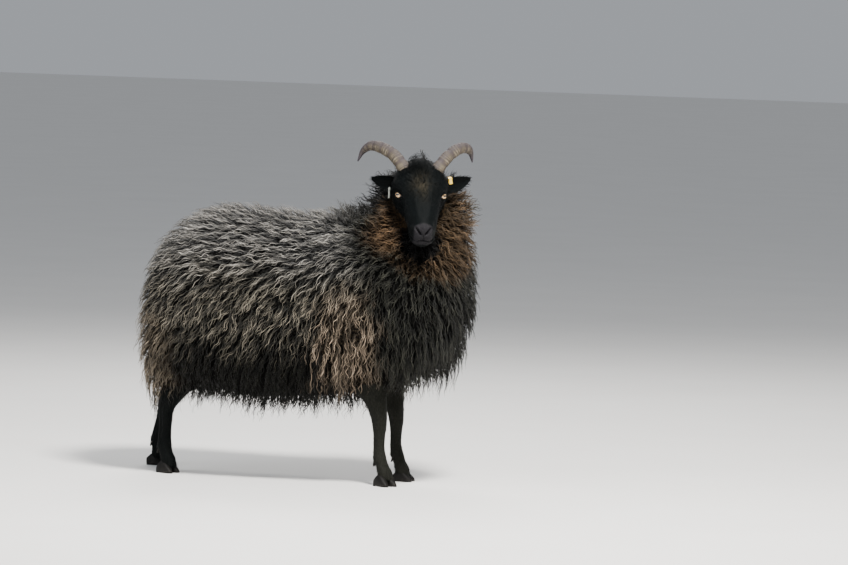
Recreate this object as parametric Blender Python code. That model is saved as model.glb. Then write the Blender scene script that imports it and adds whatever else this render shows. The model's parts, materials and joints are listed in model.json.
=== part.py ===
"""A life-size, two-horned black ewe standing with her head turned to her right.

The coat counts as part of the body: every flesh solid reaches out to the tips of the fleece or hair.
X is forward along the body, Y is the ewe's left, Z is up, and the hooves stand on Z = 0.
Run with: blender --background --python part.py
"""

import math

import bpy
import numpy as np
from mathutils import Matrix, Vector

# Driving dimensions, in metres
GAP = 0.0004  # left between solids that touch
TRUNK_SIDES = 40
NECK_SIDES = 32
HEAD_SIDES = 22
LEG_SIDES = 12
FLEECE_VOXEL = 0.012
FLEECE_SMOOTHING = 0.6
FLEECE_SMOOTHING_ROUNDS = 9
FLEECE_FACES_KEPT = 0.105  # share of the remade faces
CUTTER_SIZE = 1.2

# Place of the body's middle along X, so that the box round the whole ewe is centred
BODY_SHIFT = -0.009

# Head pose: the point midway between the eyes, and the turns of the face
EYE_MIDPOINT = Vector((0.310 + BODY_SHIFT, -0.087, 0.623))
HEAD_TURN = math.radians(-63)  # from +X towards her right
HEAD_PITCH = math.radians(35)  # nose below level
HEAD_ROLL = math.radians(0.7)  # left side lower

EYE_RADIUS = 0.0135
EYE_PLACE = (0.0, 0.0400, 0.0)  # forward, out, up in the head's frame


def clear_scene():
    for thing in list(bpy.data.objects):
        bpy.data.objects.remove(thing)


def material(name, colour, roughness, metallic=0.0):
    made = bpy.data.materials.new(name)
    made.use_nodes = True
    shader = made.node_tree.nodes["Principled BSDF"]
    shader.inputs["Base Color"].default_value = (*colour, 1.0)
    shader.inputs["Roughness"].default_value = roughness
    shader.inputs["Metallic"].default_value = metallic
    made.diffuse_color = (*colour, 1.0)
    return made


def through(knots, values, at):
    """A smooth cubic curve through values at knots, with each slope set by the neighbours."""
    knots = np.asarray(knots, float)
    values = np.asarray(values, float).reshape(len(knots), -1)
    slopes = np.gradient(values, knots, axis=0)
    at = np.clip(np.asarray(at, float), knots[0], knots[-1])
    cell = np.clip(np.searchsorted(knots, at) - 1, 0, len(knots) - 2)
    width = (knots[cell + 1] - knots[cell])[:, None]
    t = (at - knots[cell])[:, None] / width
    start, end = values[cell], values[cell + 1]
    leave, arrive = slopes[cell] * width, slopes[cell + 1] * width
    return (
        start * (2 * t**3 - 3 * t**2 + 1)
        + leave * (t**3 - 2 * t**2 + t)
        + end * (3 * t**2 - 2 * t**3)
        + arrive * (t**3 - t**2)
    )


def rounded_power(value, power):
    return np.sign(value) * np.abs(value) ** power


def loft(name, rings, finish):
    """A closed solid whose skin joins each ring of points to the next, with a flat face on both ends."""
    count, sides = rings.shape[:2]
    faces = []
    for ring in range(count - 1):
        for side in range(sides):
            after = (side + 1) % sides
            here, there = ring * sides, (ring + 1) * sides
            faces.append((here + side, here + after, there + after, there + side))
    faces.append(tuple(range(sides))[::-1])
    faces.append(tuple(range((count - 1) * sides, count * sides)))
    mesh = bpy.data.meshes.new(name)
    mesh.from_pydata(rings.reshape(-1, 3).tolist(), [], faces)
    mesh.validate()
    solid = bpy.data.objects.new(name, mesh)
    bpy.context.collection.objects.link(solid)
    mesh.materials.append(finish)
    face_outwards(solid)
    mesh.shade_smooth()
    return solid


def face_outwards(solid):
    """Turns every face over where the mesh encloses a negative volume."""
    mesh = solid.data
    mesh.calc_loop_triangles()
    points = np.array([v.co for v in mesh.vertices])
    corners = points[np.array([t.vertices for t in mesh.loop_triangles])]
    volume = np.einsum("ij,ij->i", corners[:, 0], np.cross(corners[:, 1], corners[:, 2])).sum()
    if volume < 0:
        mesh.flip_normals()


def tube(name, centres, forwards, sideways, half_long, half_wide, sides, finish):
    """A loft of elliptical rings: half_long runs along forwards and half_wide along sideways."""
    angle = np.linspace(0, 2 * math.pi, sides, endpoint=False)
    rings = (
        centres[:, None]
        + forwards[:, None] * half_long[:, None, None] * np.cos(angle)[None, :, None]
        + sideways[:, None] * half_wide[:, None, None] * np.sin(angle)[None, :, None]
    )
    return loft(name, rings, finish)


def evaluated(solid):
    """The object's mesh with its modifiers applied, kept on the object in their place."""
    bpy.context.view_layer.update()
    graph = bpy.context.evaluated_depsgraph_get()
    mesh = bpy.data.meshes.new_from_object(solid.evaluated_get(graph))
    solid.modifiers.clear()
    solid.data = mesh
    return solid


def copy_of(solid, name):
    twin = solid.copy()
    twin.data = solid.data.copy()
    twin.name = name
    bpy.context.collection.objects.link(twin)
    return twin


def grown(solid, by):
    """A hidden cutter in the solid's shape, moved out along its normals."""
    cutter = copy_of(solid, solid.name + "_cutter")
    mesh = cutter.data
    points = np.array([v.co for v in mesh.vertices])
    normals = np.array([v.normal for v in mesh.vertices])
    mesh.vertices.foreach_set("co", (points + normals * by).ravel())
    mesh.update()
    cutter.hide_render = True
    cutter.display_type = "WIRE"
    return cutter


def combine(solid, other, operation):
    boolean = solid.modifiers.new(operation.lower(), "BOOLEAN")
    boolean.operation = operation
    boolean.object = other
    return evaluated(solid)


def cut_away(solid, neighbour, by=GAP):
    """Takes the neighbour, and a gap round it, out of the solid."""
    cutter = grown(neighbour, by)
    combine(solid, cutter, "DIFFERENCE")
    bpy.data.objects.remove(cutter)
    return solid


def half_space(centre, normal):
    """A box whose one face passes through centre, on the side that normal points to."""
    bpy.ops.mesh.primitive_cube_add(size=CUTTER_SIZE)
    box = bpy.context.object
    normal = Vector(normal).normalized()
    turn = normal.to_track_quat("Z", "Y").to_matrix().to_4x4()
    shift = Matrix.Translation(Vector(centre) + normal * (CUTTER_SIZE / 2))
    box.data.transform(shift @ turn)
    return box


def keep_side(solid, centre, normal):
    """Keeps the part of the solid that lies beyond a plane."""
    box = half_space(centre, normal)
    combine(solid, box, "INTERSECT")
    bpy.data.objects.remove(box)
    return solid


# Trunk: the barrel in full fleece

# Along X: back line, belly line, half width
TRUNK_X = (-0.342, -0.332, -0.310, -0.265, -0.20, -0.09, 0.02, 0.11, 0.21, 0.29, 0.345, 0.385, 0.402)
TRUNK_TOP = (0.400, 0.455, 0.505, 0.550, 0.583, 0.584, 0.577, 0.590, 0.590, 0.565, 0.530, 0.490, 0.450)
TRUNK_LOW = (0.200, 0.172, 0.162, 0.163, 0.164, 0.152, 0.155, 0.166, 0.198, 0.212, 0.262, 0.330, 0.385)
TRUNK_HALF_WIDTH = (0.060, 0.105, 0.142, 0.176, 0.197, 0.206, 0.202, 0.190, 0.180, 0.158, 0.122, 0.070, 0.030)
TRUNK_RINGS = 40
WIDEST_SHARE = 0.46  # of the way up from the belly line to the back line
BACK_ROUNDNESS = 2.15
FLANK_ROUNDNESS = 2.35


def trunk_loft(finish):
    x = TRUNK_X[0] + (TRUNK_X[-1] - TRUNK_X[0]) * (1 - np.cos(np.linspace(0, math.pi, TRUNK_RINGS))) / 2
    sizes = np.stack([TRUNK_TOP, TRUNK_LOW, TRUNK_HALF_WIDTH], axis=1)
    top, low, half = through(TRUNK_X, sizes, x).T
    angle = np.linspace(0, 2 * math.pi, TRUNK_SIDES, endpoint=False)[None, :]
    middle = low + (top - low) * WIDEST_SHARE
    height = np.where(np.sin(angle) > 0, (top - middle)[:, None], (middle - low)[:, None])
    power = np.where(np.sin(angle) > 0, 2 / BACK_ROUNDNESS, 2 / FLANK_ROUNDNESS)
    rings = np.stack(
        [
            np.broadcast_to((x + BODY_SHIFT)[:, None], height.shape),
            half[:, None] * rounded_power(np.cos(angle), power),
            middle[:, None] + height * rounded_power(np.sin(angle), power),
        ],
        axis=-1,
    )
    return loft("trunk", rings, finish)


# Neck: the thick ruff of wool between the shoulders and the face

# Centre forward, left, up, then half length and half width of the level ring
NECK_STATIONS = (
    (0.215, 0.000, 0.380, 0.165, 0.160),
    (0.245, 0.003, 0.440, 0.150, 0.148),
    (0.261, 0.008, 0.500, 0.135, 0.134),
    (0.264, 0.016, 0.555, 0.120, 0.120),
    (0.261, 0.023, 0.605, 0.110, 0.108),
    (0.257, 0.028, 0.638, 0.094, 0.090),
    (0.256, 0.030, 0.660, 0.070, 0.066),
    (0.256, 0.030, 0.673, 0.036, 0.034),
)
NECK_RINGS = 22
NECK_CUT = (0.205 + BODY_SHIFT, 0.0, 0.470)
NECK_CUT_NORMAL = (0.62, -0.06, 0.78)


def neck_loft(finish):
    stations = np.array(NECK_STATIONS)
    level = np.linspace(0, len(stations) - 1, NECK_RINGS)
    path = through(np.arange(len(stations)), stations, level)
    centres = path[:, :3] + (BODY_SHIFT, 0, 0)
    ahead = np.tile((1.0, 0.0, 0.0), (NECK_RINGS, 1))
    left = np.tile((0.0, 1.0, 0.0), (NECK_RINGS, 1))
    return tube("neck", centres, ahead, left, path[:, 3], path[:, 4], NECK_SIDES, finish)


def fleece_bodies(finish):
    """The trunk and the neck, blended into one form and then parted by a thin plane cut."""
    trunk = trunk_loft(finish)
    neck = neck_loft(finish)
    combine(trunk, neck, "UNION")
    blend = trunk.modifiers.new("blend", "REMESH")
    blend.mode = "VOXEL"
    blend.voxel_size = FLEECE_VOXEL
    soften = trunk.modifiers.new("soften", "SMOOTH")
    soften.factor = FLEECE_SMOOTHING
    soften.iterations = FLEECE_SMOOTHING_ROUNDS
    thin = trunk.modifiers.new("thin", "DECIMATE")
    thin.ratio = FLEECE_FACES_KEPT
    evaluated(trunk)
    bpy.data.objects.remove(neck)
    neck = copy_of(trunk, "neck")
    normal = Vector(NECK_CUT_NORMAL).normalized()
    keep_side(neck, Vector(NECK_CUT) + normal * GAP / 2, normal)
    keep_side(trunk, Vector(NECK_CUT) - normal * GAP / 2, -normal)
    return trunk, neck


# Head, in its own frame: forward along the face, out to the left, and up from the brow

# Forward, forehead line, jaw line, half width, height of the widest level, upper and lower roundness
HEAD_STATIONS = (
    (-0.092, 0.034, -0.050, 0.034, -0.006, 2.2, 2.0),
    (-0.075, 0.046, -0.066, 0.046, 0.000, 2.2, 1.9),
    (-0.050, 0.052, -0.074, 0.054, 0.004, 2.3, 1.8),
    (-0.022, 0.048, -0.076, 0.060, 0.006, 2.4, 1.7),
    (-0.006, 0.043, -0.074, 0.056, 0.006, 2.5, 1.7),
    (0.010, 0.039, -0.071, 0.0475, 0.004, 2.5, 1.7),
    (0.030, 0.034, -0.067, 0.0400, 0.000, 2.4, 1.8),
    (0.055, 0.028, -0.062, 0.0365, -0.006, 2.3, 2.0),
    (0.080, 0.022, -0.059, 0.0330, -0.012, 2.3, 2.2),
    (0.098, 0.017, -0.058, 0.0300, -0.016, 2.3, 2.3),
    (0.110, 0.011, -0.052, 0.0260, -0.018, 2.3, 2.4),
    (0.118, 0.003, -0.042, 0.0200, -0.019, 2.2, 2.2),
    (0.122, -0.010, -0.030, 0.0110, -0.020, 2.0, 2.0),
)
HEAD_RINGS = 22
HEAD_RING_CROWDING = 0.85  # below 1 the rings stand closer towards the nose


def head_frame():
    ahead = Vector(
        (
            math.cos(HEAD_PITCH) * math.cos(HEAD_TURN),
            math.cos(HEAD_PITCH) * math.sin(HEAD_TURN),
            -math.sin(HEAD_PITCH),
        )
    )
    level_left = Vector((-math.sin(HEAD_TURN), math.cos(HEAD_TURN), 0))
    crown = ahead.cross(level_left)
    left = level_left * math.cos(HEAD_ROLL) - crown * math.sin(HEAD_ROLL)
    crown = ahead.cross(left)
    turn = Matrix((ahead, left, crown)).transposed().to_4x4()
    return Matrix.Translation(EYE_MIDPOINT) @ turn


def head_solid(finish):
    stations = np.array(HEAD_STATIONS)
    share = np.linspace(0, 1, HEAD_RINGS) ** HEAD_RING_CROWDING
    ahead = stations[0, 0] + (stations[-1, 0] - stations[0, 0]) * share
    brow, jaw, half, level, upper, lower = through(stations[:, 0], stations[:, 1:], ahead).T
    angle = np.linspace(0, 2 * math.pi, HEAD_SIDES, endpoint=False)[None, :]
    above = np.sin(angle) > 0
    height = np.where(above, (brow - level)[:, None], (level - jaw)[:, None])
    power = np.where(above, 2 / upper[:, None], 2 / lower[:, None])
    rings = np.stack(
        [
            np.broadcast_to(ahead[:, None], height.shape),
            half[:, None] * rounded_power(np.cos(angle), power),
            level[:, None] + height * rounded_power(np.sin(angle), power),
        ],
        axis=-1,
    )
    head = loft("head", rings, finish)
    head.data.transform(head_frame())
    return head


def eyeball(name, side, finish):
    bpy.ops.mesh.primitive_uv_sphere_add(segments=14, ring_count=8, radius=EYE_RADIUS)
    ball = bpy.context.object
    ball.name = name
    ahead, out, up = EYE_PLACE
    ball.data.transform(head_frame() @ Matrix.Translation((ahead, side * out, up)))
    ball.data.materials.append(finish)
    ball.data.shade_smooth()
    return ball


# Ears: thin cupped leaves that stand out to the sides

# Each ear: the root and the tip in the head's frame, and the way the hollow faces
EARS = {
    "ear_left": ((-0.040, 0.040, -0.006), (-0.0627, 0.1108, 0.0004), (0.71, 0.25, 0.19)),
    "ear_right": ((-0.044, 0.040, 0.000), (-0.0590, 0.1022, -0.0040), (0.70, 0.08, 0.04)),
}
EAR_HALF_WIDTH = 0.0212
EAR_ROOT_SHARE = 0.48  # of the full half width
EAR_WIDEST = 0.54  # of the way to the tip
EAR_TIP_POWER = 2.1  # higher is blunter
EAR_THICKNESS = 0.0030
EAR_CUP = 0.35  # how far the edges curl round, as a share of the half width
EAR_BOW = 0.004
EAR_ROWS = 11
EAR_COLUMNS = 7


def ear_half_width(along):
    """Narrow at the root, broadest half way along, and a blunt point at the tip."""
    swell = np.sin(math.pi * np.clip(along / (2 * EAR_WIDEST), 0, 1))
    body = EAR_ROOT_SHARE + (1 - EAR_ROOT_SHARE) * swell
    return EAR_HALF_WIDTH * body * np.sqrt(np.clip(1 - along**EAR_TIP_POWER, 0, 1))


def ear_axes(name):
    """The ear's root, its reach to the tip, its edge-to-edge direction and the way its hollow faces."""
    root, tip, hollow = (np.array(place) for place in EARS[name])
    reach = tip - root
    hollow = hollow - reach * (hollow @ reach) / (reach @ reach)
    hollow /= np.linalg.norm(hollow)
    across = np.cross(reach / np.linalg.norm(reach), hollow)
    return root, reach, across, hollow


def ear_point(name, along, over):
    """Points on the hollow face: along from root to tip, over from edge to edge (-1 to 1)."""
    root, reach, across, hollow = ear_axes(name)
    half = ear_half_width(along)
    rise = EAR_CUP * half * over**2 + EAR_BOW * np.sin(math.pi * along)
    return root + reach * along[..., None] + across * (half * over)[..., None] + hollow * rise[..., None]


def ear_solid(name, side, finish):
    """Two facing sheets, the hollow one towards the face, joined round their edges."""
    along, over = np.meshgrid(
        np.linspace(0, 0.985, EAR_ROWS), np.linspace(-1, 1, EAR_COLUMNS), indexing="ij"
    )
    front = ear_point(name, along, over)
    wall = EAR_THICKNESS * (1 - 0.5 * over**2)
    back = front - ear_axes(name)[3] * wall[..., None]
    rings = np.concatenate([front, back[:, ::-1]], axis=1)
    rings[:, :, 1] *= side
    ear = loft(name, rings, finish)
    ear.data.transform(head_frame())
    return ear


# Horns: ringed, tapering, swept back, out and down

# Forward, out, up and half thickness in the head's frame
HORN_STATIONS = {
    "horn_left": (
        (-0.040, 0.027, 0.018, 0.0147),
        (-0.053, 0.036, 0.030, 0.0143),
        (-0.079, 0.058, 0.045, 0.0134),
        (-0.099, 0.081, 0.051, 0.0127),
        (-0.113, 0.100, 0.043, 0.0106),
        (-0.119, 0.111, 0.026, 0.0062),
        (-0.112, 0.116, 0.007, 0.0016),
    ),
    "horn_right": (
        (-0.040, 0.027, 0.018, 0.0147),
        (-0.053, 0.035, 0.030, 0.0143),
        (-0.079, 0.056, 0.044, 0.0134),
        (-0.101, 0.080, 0.046, 0.0128),
        (-0.118, 0.102, 0.038, 0.0102),
        (-0.123, 0.118, 0.019, 0.0062),
        (-0.115, 0.128, -0.002, 0.0016),
    ),
}
HORN_RINGS = 15
HORN_SIDES = 10
HORN_FLATNESS = 0.95


def horn_solid(name, side, finish):
    stations = np.array(HORN_STATIONS[name])
    path = through(np.arange(len(stations)), stations, np.linspace(0, len(stations) - 1, HORN_RINGS))
    centres = path[:, :3] * (1, side, 1)
    heading = np.gradient(centres, axis=0)
    heading /= np.linalg.norm(heading, axis=1)[:, None]
    outer = np.cross(heading, (0.9 * side, 0.35, 0.0))
    outer /= np.linalg.norm(outer, axis=1)[:, None]
    across = np.cross(heading, outer)
    horn = tube(name, centres, outer, across, path[:, 3], path[:, 3] * HORN_FLATNESS, HORN_SIDES, finish)
    horn.data.transform(head_frame())
    return horn


# Tags: plain strips folded over the edge of an ear

TAG_THICKNESS = 0.0016

# Each tag: its ear, side, place along the ear, edge of the ear, length, width, depth, overhang
TAGS = {
    "ear_tag_left": ("ear_left", 1, 0.33, -1, 0.0140, 0.0070, 0.0075, 0.0015),
    "ear_tag_right": ("ear_right", -1, 0.35, 1, 0.0240, 0.0034, 0.0068, 0.0170),
}


def ear_tag(name, finish):
    """A flat bar bent double: its fold lies past the ear's edge, and its two arms hold the ear."""
    ear, side, along, edge, long, wide, deep, overhang = TAGS[name]
    _, _, across, face = (Vector(axis) for axis in ear_axes(ear))
    bpy.ops.mesh.primitive_cube_add(size=1)
    tag = bpy.context.object
    tag.name = name
    tag.data.transform(Matrix.Diagonal((wide, deep, long, 1)))
    bpy.ops.mesh.primitive_cube_add(size=1)
    slot = bpy.context.object
    inside = Matrix.Diagonal((wide * 2, deep - 2 * TAG_THICKNESS, long, 1))
    slot.data.transform(Matrix.Translation((0, 0, -2 * TAG_THICKNESS)) @ inside)
    combine(tag, slot, "DIFFERENCE")
    bpy.data.objects.remove(slot)
    out = across * edge
    wide_axis = face.cross(out)
    turn = Matrix((wide_axis, face, out)).transposed().to_4x4()
    rim = ear_point(ear, np.array(along), np.array(float(edge)))
    place = Vector(rim) + out * (overhang - long / 2)
    tag.data.transform(Matrix.Translation(place) @ turn)
    tag.data.transform(Matrix.Diagonal((1, side, 1, 1)))
    tag.data.transform(head_frame())
    face_outwards(tag)
    tag.data.materials.append(finish)
    return tag


# Legs: forward, out and up of each ring's centre, then half length and half width

FRONT_LEG = (
    (-0.042, 0.004, 0.285, 0.060, 0.037),
    (-0.036, 0.003, 0.240, 0.052, 0.032),
    (-0.028, 0.002, 0.207, 0.0410, 0.0270),
    (-0.013, 0.001, 0.178, 0.0260, 0.0205),
    (-0.005, 0.000, 0.150, 0.0190, 0.0178),
    (-0.002, 0.000, 0.127, 0.0158, 0.0148),
    (-0.002, 0.000, 0.105, 0.0132, 0.0122),
    (-0.002, 0.000, 0.080, 0.0127, 0.0120),
    (0.001, 0.001, 0.058, 0.0150, 0.0150),
    (0.006, 0.001, 0.044, 0.0145, 0.0155),
    (0.012, 0.001, 0.031, 0.0165, 0.0180),
    (0.015, 0.001, 0.021, 0.0175, 0.0180),
)
HIND_LEG = (
    (0.054, 0.004, 0.285, 0.072, 0.046),
    (0.044, 0.003, 0.245, 0.060, 0.040),
    (0.031, 0.002, 0.210, 0.0470, 0.0310),
    (0.018, 0.001, 0.182, 0.0360, 0.0230),
    (0.007, 0.000, 0.160, 0.0260, 0.0190),
    (-0.002, 0.000, 0.136, 0.0175, 0.0155),
    (-0.001, 0.000, 0.108, 0.0145, 0.0128),
    (0.000, 0.000, 0.082, 0.0145, 0.0126),
    (0.002, 0.001, 0.058, 0.0165, 0.0155),
    (0.007, 0.001, 0.044, 0.0155, 0.0160),
    (0.013, 0.001, 0.031, 0.0170, 0.0182),
    (0.016, 0.001, 0.021, 0.0178, 0.0180),
)
LEG_RINGS = 16
SLANT_HEIGHT = 0.22  # below this the leg leans towards its foot

# Each leg: its stations, where it stands, how far the foot leads the thigh or forearm, and its toe-out
LEGS = {
    "front_leg_left": (FRONT_LEG, 0.211, 0.058, 0.000, math.radians(6)),
    "front_leg_right": (FRONT_LEG, 0.2225, -0.064, 0.000, math.radians(-24)),
    "hind_leg_left": (HIND_LEG, -0.315, 0.072, -0.064, math.radians(8)),
    "hind_leg_right": (HIND_LEG, -0.265, -0.074, -0.018, math.radians(-14)),
}


def leg_solid(name, finish):
    stations, stand_x, stand_y, lead, _ = LEGS[name]
    stations = np.array(stations)
    level = np.linspace(0, len(stations) - 1, LEG_RINGS)
    path = through(np.arange(len(stations)), stations, level)
    side = math.copysign(1, stand_y)
    slant = lead * np.clip(1 - path[:, 2] / SLANT_HEIGHT, 0, 1)
    centres = np.stack(
        [
            path[:, 0] + stand_x + slant + BODY_SHIFT,
            path[:, 1] * side + stand_y,
            path[:, 2],
        ],
        axis=1,
    )
    ahead = np.tile((1.0, 0.0, 0.0), (LEG_RINGS, 1))
    left = np.tile((0.0, 1.0, 0.0), (LEG_RINGS, 1))
    return tube(name, centres, ahead, left, path[:, 3], path[:, 4], LEG_SIDES, finish)


# Hooves: two claws to a foot, each flat underneath with a rounded toe

CLAW_LENGTH = 0.040
CLAW_HALF_WIDTH = 0.0090
CLAW_HEEL_HEIGHT = 0.019
CLAW_RIM_HEIGHT = 0.031
CLAW_SPACING = 0.0200
CLAW_AHEAD = 0.013  # the claws stand this far in front of the leg
CLAW_RINGS = 7
CLAW_ARCH_POINTS = 7
CLAW_SPLAY = math.radians(7)
CLAW_LEG_SHARE = 0.36  # of its length that lies behind the leg's middle
CLAW_WIDEST_SHARE = 0.42  # of the way from heel to toe
CLAW_HEIGHTS = ((0.0, CLAW_HEEL_HEIGHT), (0.35, CLAW_RIM_HEIGHT), (0.62, 0.024), (1.0, 0.006))
CLAW_LEAN = 0.12
CLAW_ROUNDNESS = 0.75


def claw_solid(name, leg, side, finish):
    """Arches set one behind another from heel to toe, the highest where the pastern meets the claw."""
    _, stand_x, stand_y, lead, toe_out = LEGS[leg]
    along = np.linspace(0, 1, CLAW_RINGS)
    narrowing = (np.abs(along - CLAW_WIDEST_SHARE) / 0.60) ** 3.2
    half = CLAW_HALF_WIDTH * np.sqrt(np.clip(1 - narrowing, 0.03, 1))
    height = np.interp(along, *zip(*CLAW_HEIGHTS))
    arch = np.linspace(0, math.pi, CLAW_ARCH_POINTS)[None, :]
    across = half[:, None] * rounded_power(np.cos(arch), CLAW_ROUNDNESS)
    up = height[:, None] * np.sin(arch) ** CLAW_ROUNDNESS
    forward = np.broadcast_to(((along - CLAW_LEG_SHARE) * CLAW_LENGTH)[:, None], across.shape)
    lean = -CLAW_LEAN * up
    rings = np.stack([forward + lean, across, up], axis=-1)
    claw = loft(name, rings, finish)
    splay = Matrix.Rotation(side * CLAW_SPLAY, 4, "Z")
    beside = Matrix.Translation((0, side * CLAW_SPACING / 2, 0))
    turn = Matrix.Rotation(toe_out, 4, "Z")
    stand = Matrix.Translation((stand_x + lead + BODY_SHIFT + CLAW_AHEAD, stand_y, 0))
    claw.data.transform(stand @ turn @ beside @ splay)
    return claw


# Tail: short and woolly, hanging close to the rump

TAIL_STATIONS = (
    (-0.306, 0.0, 0.478, 0.020, 0.022),
    (-0.320, 0.0, 0.458, 0.025, 0.030),
    (-0.331, 0.0, 0.420, 0.026, 0.035),
    (-0.336, 0.0, 0.370, 0.024, 0.035),
    (-0.338, 0.0, 0.320, 0.021, 0.031),
    (-0.339, 0.0, 0.280, 0.016, 0.023),
    (-0.339, 0.0, 0.256, 0.008, 0.010),
)
TAIL_RINGS = 14
TAIL_SIDES = 12


def tail_solid(finish):
    stations = np.array(TAIL_STATIONS)
    path = through(np.arange(len(stations)), stations, np.linspace(0, len(stations) - 1, TAIL_RINGS))
    centres = path[:, :3] + (BODY_SHIFT, 0, 0)
    ahead = np.tile((1.0, 0.0, 0.0), (TAIL_RINGS, 1))
    left = np.tile((0.0, 1.0, 0.0), (TAIL_RINGS, 1))
    return tube("tail", centres, ahead, left, path[:, 3], path[:, 4], TAIL_SIDES, finish)


def build():
    clear_scene()
    fleece = material("fleece", (0.045, 0.038, 0.034), 0.95)
    hair = material("short_hair", (0.012, 0.011, 0.011), 0.7)
    horn = material("horn", (0.17, 0.14, 0.13), 0.55)
    hoof = material("hoof", (0.03, 0.027, 0.026), 0.5)
    eye = material("eye", (0.62, 0.42, 0.16), 0.1)
    yellow = material("yellow_tag", (0.85, 0.62, 0.12), 0.4)
    pale = material("pale_tag", (0.70, 0.72, 0.70), 0.4)

    trunk, neck = fleece_bodies(fleece)
    tail = tail_solid(fleece)
    cut_away(tail, trunk)

    head = head_solid(hair)
    cut_away(neck, head)
    cut_away(trunk, head)
    for name, side in (("left", 1), ("right", -1)):
        ball = eyeball("eye_" + name, side, eye)
        cut_away(head, ball)
        horn_piece = horn_solid("horn_" + name, side, horn)
        cut_away(head, horn_piece)
        cut_away(neck, horn_piece)
        ear = ear_solid("ear_" + name, side, hair)
        cut_away(ear, head)
        cut_away(ear, neck)
    for name, finish in (("ear_tag_left", yellow), ("ear_tag_right", pale)):
        tag = ear_tag(name, finish)
        cut_away(neck, tag)
        cut_away(head, tag)
        cut_away(bpy.data.objects[TAGS[name][0]], tag)

    for name in LEGS:
        leg = leg_solid(name, hair)
        for claw, side in (("left", 1), ("right", -1)):
            hoof_piece = claw_solid(name.replace("leg", "claw") + "_" + claw, name, side, hoof)
            cut_away(leg, hoof_piece)
        cut_away(trunk, leg, 2 * GAP)


build()
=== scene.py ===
"""The looks of a small dark horned ewe in full fleece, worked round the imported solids.

She is put together from the inside out: one skin of hide, head, ears and legs, then the eyes, horns,
hooves and tags, the short hair, the long wool, and last the floor, lamps and camera.
"""

import json
import math

import bmesh
import bpy
import numpy as np
from mathutils import Matrix, Vector
from mathutils.bvhtree import BVHTree
from mathutils.kdtree import KDTree

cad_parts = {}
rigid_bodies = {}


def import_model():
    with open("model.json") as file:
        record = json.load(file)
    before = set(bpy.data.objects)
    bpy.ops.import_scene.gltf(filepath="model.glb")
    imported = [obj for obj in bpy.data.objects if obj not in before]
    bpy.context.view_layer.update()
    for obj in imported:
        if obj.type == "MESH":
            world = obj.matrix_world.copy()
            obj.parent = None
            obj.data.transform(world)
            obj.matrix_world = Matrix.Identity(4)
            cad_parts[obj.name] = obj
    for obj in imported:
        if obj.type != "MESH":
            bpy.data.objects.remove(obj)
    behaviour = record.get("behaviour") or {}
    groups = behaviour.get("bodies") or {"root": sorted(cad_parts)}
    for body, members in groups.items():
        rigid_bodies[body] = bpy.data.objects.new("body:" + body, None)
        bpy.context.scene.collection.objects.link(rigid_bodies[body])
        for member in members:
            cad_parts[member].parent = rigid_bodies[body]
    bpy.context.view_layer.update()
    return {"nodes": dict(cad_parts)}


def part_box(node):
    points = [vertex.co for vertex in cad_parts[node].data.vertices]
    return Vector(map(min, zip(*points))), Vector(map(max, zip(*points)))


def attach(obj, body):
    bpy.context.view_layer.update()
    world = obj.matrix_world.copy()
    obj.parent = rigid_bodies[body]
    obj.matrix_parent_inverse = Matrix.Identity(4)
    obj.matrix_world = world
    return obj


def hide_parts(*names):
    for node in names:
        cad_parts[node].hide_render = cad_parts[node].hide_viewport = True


for leftover in list(bpy.data.objects):
    bpy.data.objects.remove(leftover)
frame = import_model()
chance = np.random.default_rng(7)

# ------------------------------
# The hide of the barrel, neck and tail, with the dense dark undercoat on it, under the wool. It is the
# outline of the solids drawn in by the depth of the wool, so that locks rooted just under it end
# where the solids end.

WOOL_DEPTH = 0.021
ROOT_DEPTH = 0.006  # of the locks, below the undercoat
LEG_DEPTH = 0.006
HEAD_DEPTH = 0.016  # the modelled head covers the hide there
HIDE_VOXEL = 0.009
LEGS = [f"{end}_leg_{side}" for end in ("front", "hind") for side in ("left", "right")]
FLESH = ["trunk", "neck", "head", "tail"] + LEGS


def unit(vectors):
    """Each vector divided by its own length."""
    return vectors / np.maximum(np.linalg.norm(vectors, axis=-1, keepdims=True), 1e-12)


def rise(value, low, high):
    """0 below low, 1 above high, and the smooth step 3t^2 - 2t^3 between."""
    t = np.clip((value - low) / (high - low), 0, 1)
    return t * t * (3 - 2 * t)


def mesh_part(mesh):
    """A mesh's points, outward normals and triangles."""
    mesh.calc_loop_triangles()
    wanted = ((mesh.vertices, "co", float), (mesh.vertices, "normal", float))
    read = []
    for items, key, kind in (*wanted, (mesh.loop_triangles, "vertices", np.int32)):
        read.append(np.empty(len(items) * 3, kind))
        items.foreach_get(key, read[-1])
    points, normals, triangles = (values.reshape(-1, 3) for values in read)
    return {"points": points, "normals": normals, "faces": [triangles]}


def closed_envelope():
    """The flesh solids remade as one closed surface."""
    flesh = bmesh.new()
    for node in FLESH:
        flesh.from_mesh(frame["nodes"][node].data)
    bmesh.ops.remove_doubles(flesh, verts=flesh.verts, dist=1e-5)
    mesh = bpy.data.meshes.new("envelope")
    flesh.to_mesh(mesh)
    flesh.free()
    shell = bpy.data.objects.new("envelope", mesh)
    bpy.context.collection.objects.link(shell)
    remade = shell.modifiers.new("remade", "REMESH")
    remade.mode, remade.voxel_size = "VOXEL", HIDE_VOXEL
    soft = shell.modifiers.new("soft", "SMOOTH")
    soft.factor, soft.iterations = 0.5, 4
    part = mesh_part(shell.evaluated_get(bpy.context.evaluated_depsgraph_get()).to_mesh())
    bpy.data.objects.remove(shell)
    return part


def all_of(parts, key):
    """A value for all the points of some parts: 0 where a part doesn't have it."""
    return np.concatenate([part.get(key, np.zeros(len(part["points"]))) for part in parts])


def all_faces(parts):
    """The faces of some parts, each counted on from the points of the parts before it."""
    starts = np.cumsum([0] + [len(part["points"]) for part in parts])
    return [face + start for part, start in zip(parts, starts) for face in part["faces"]]


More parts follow.
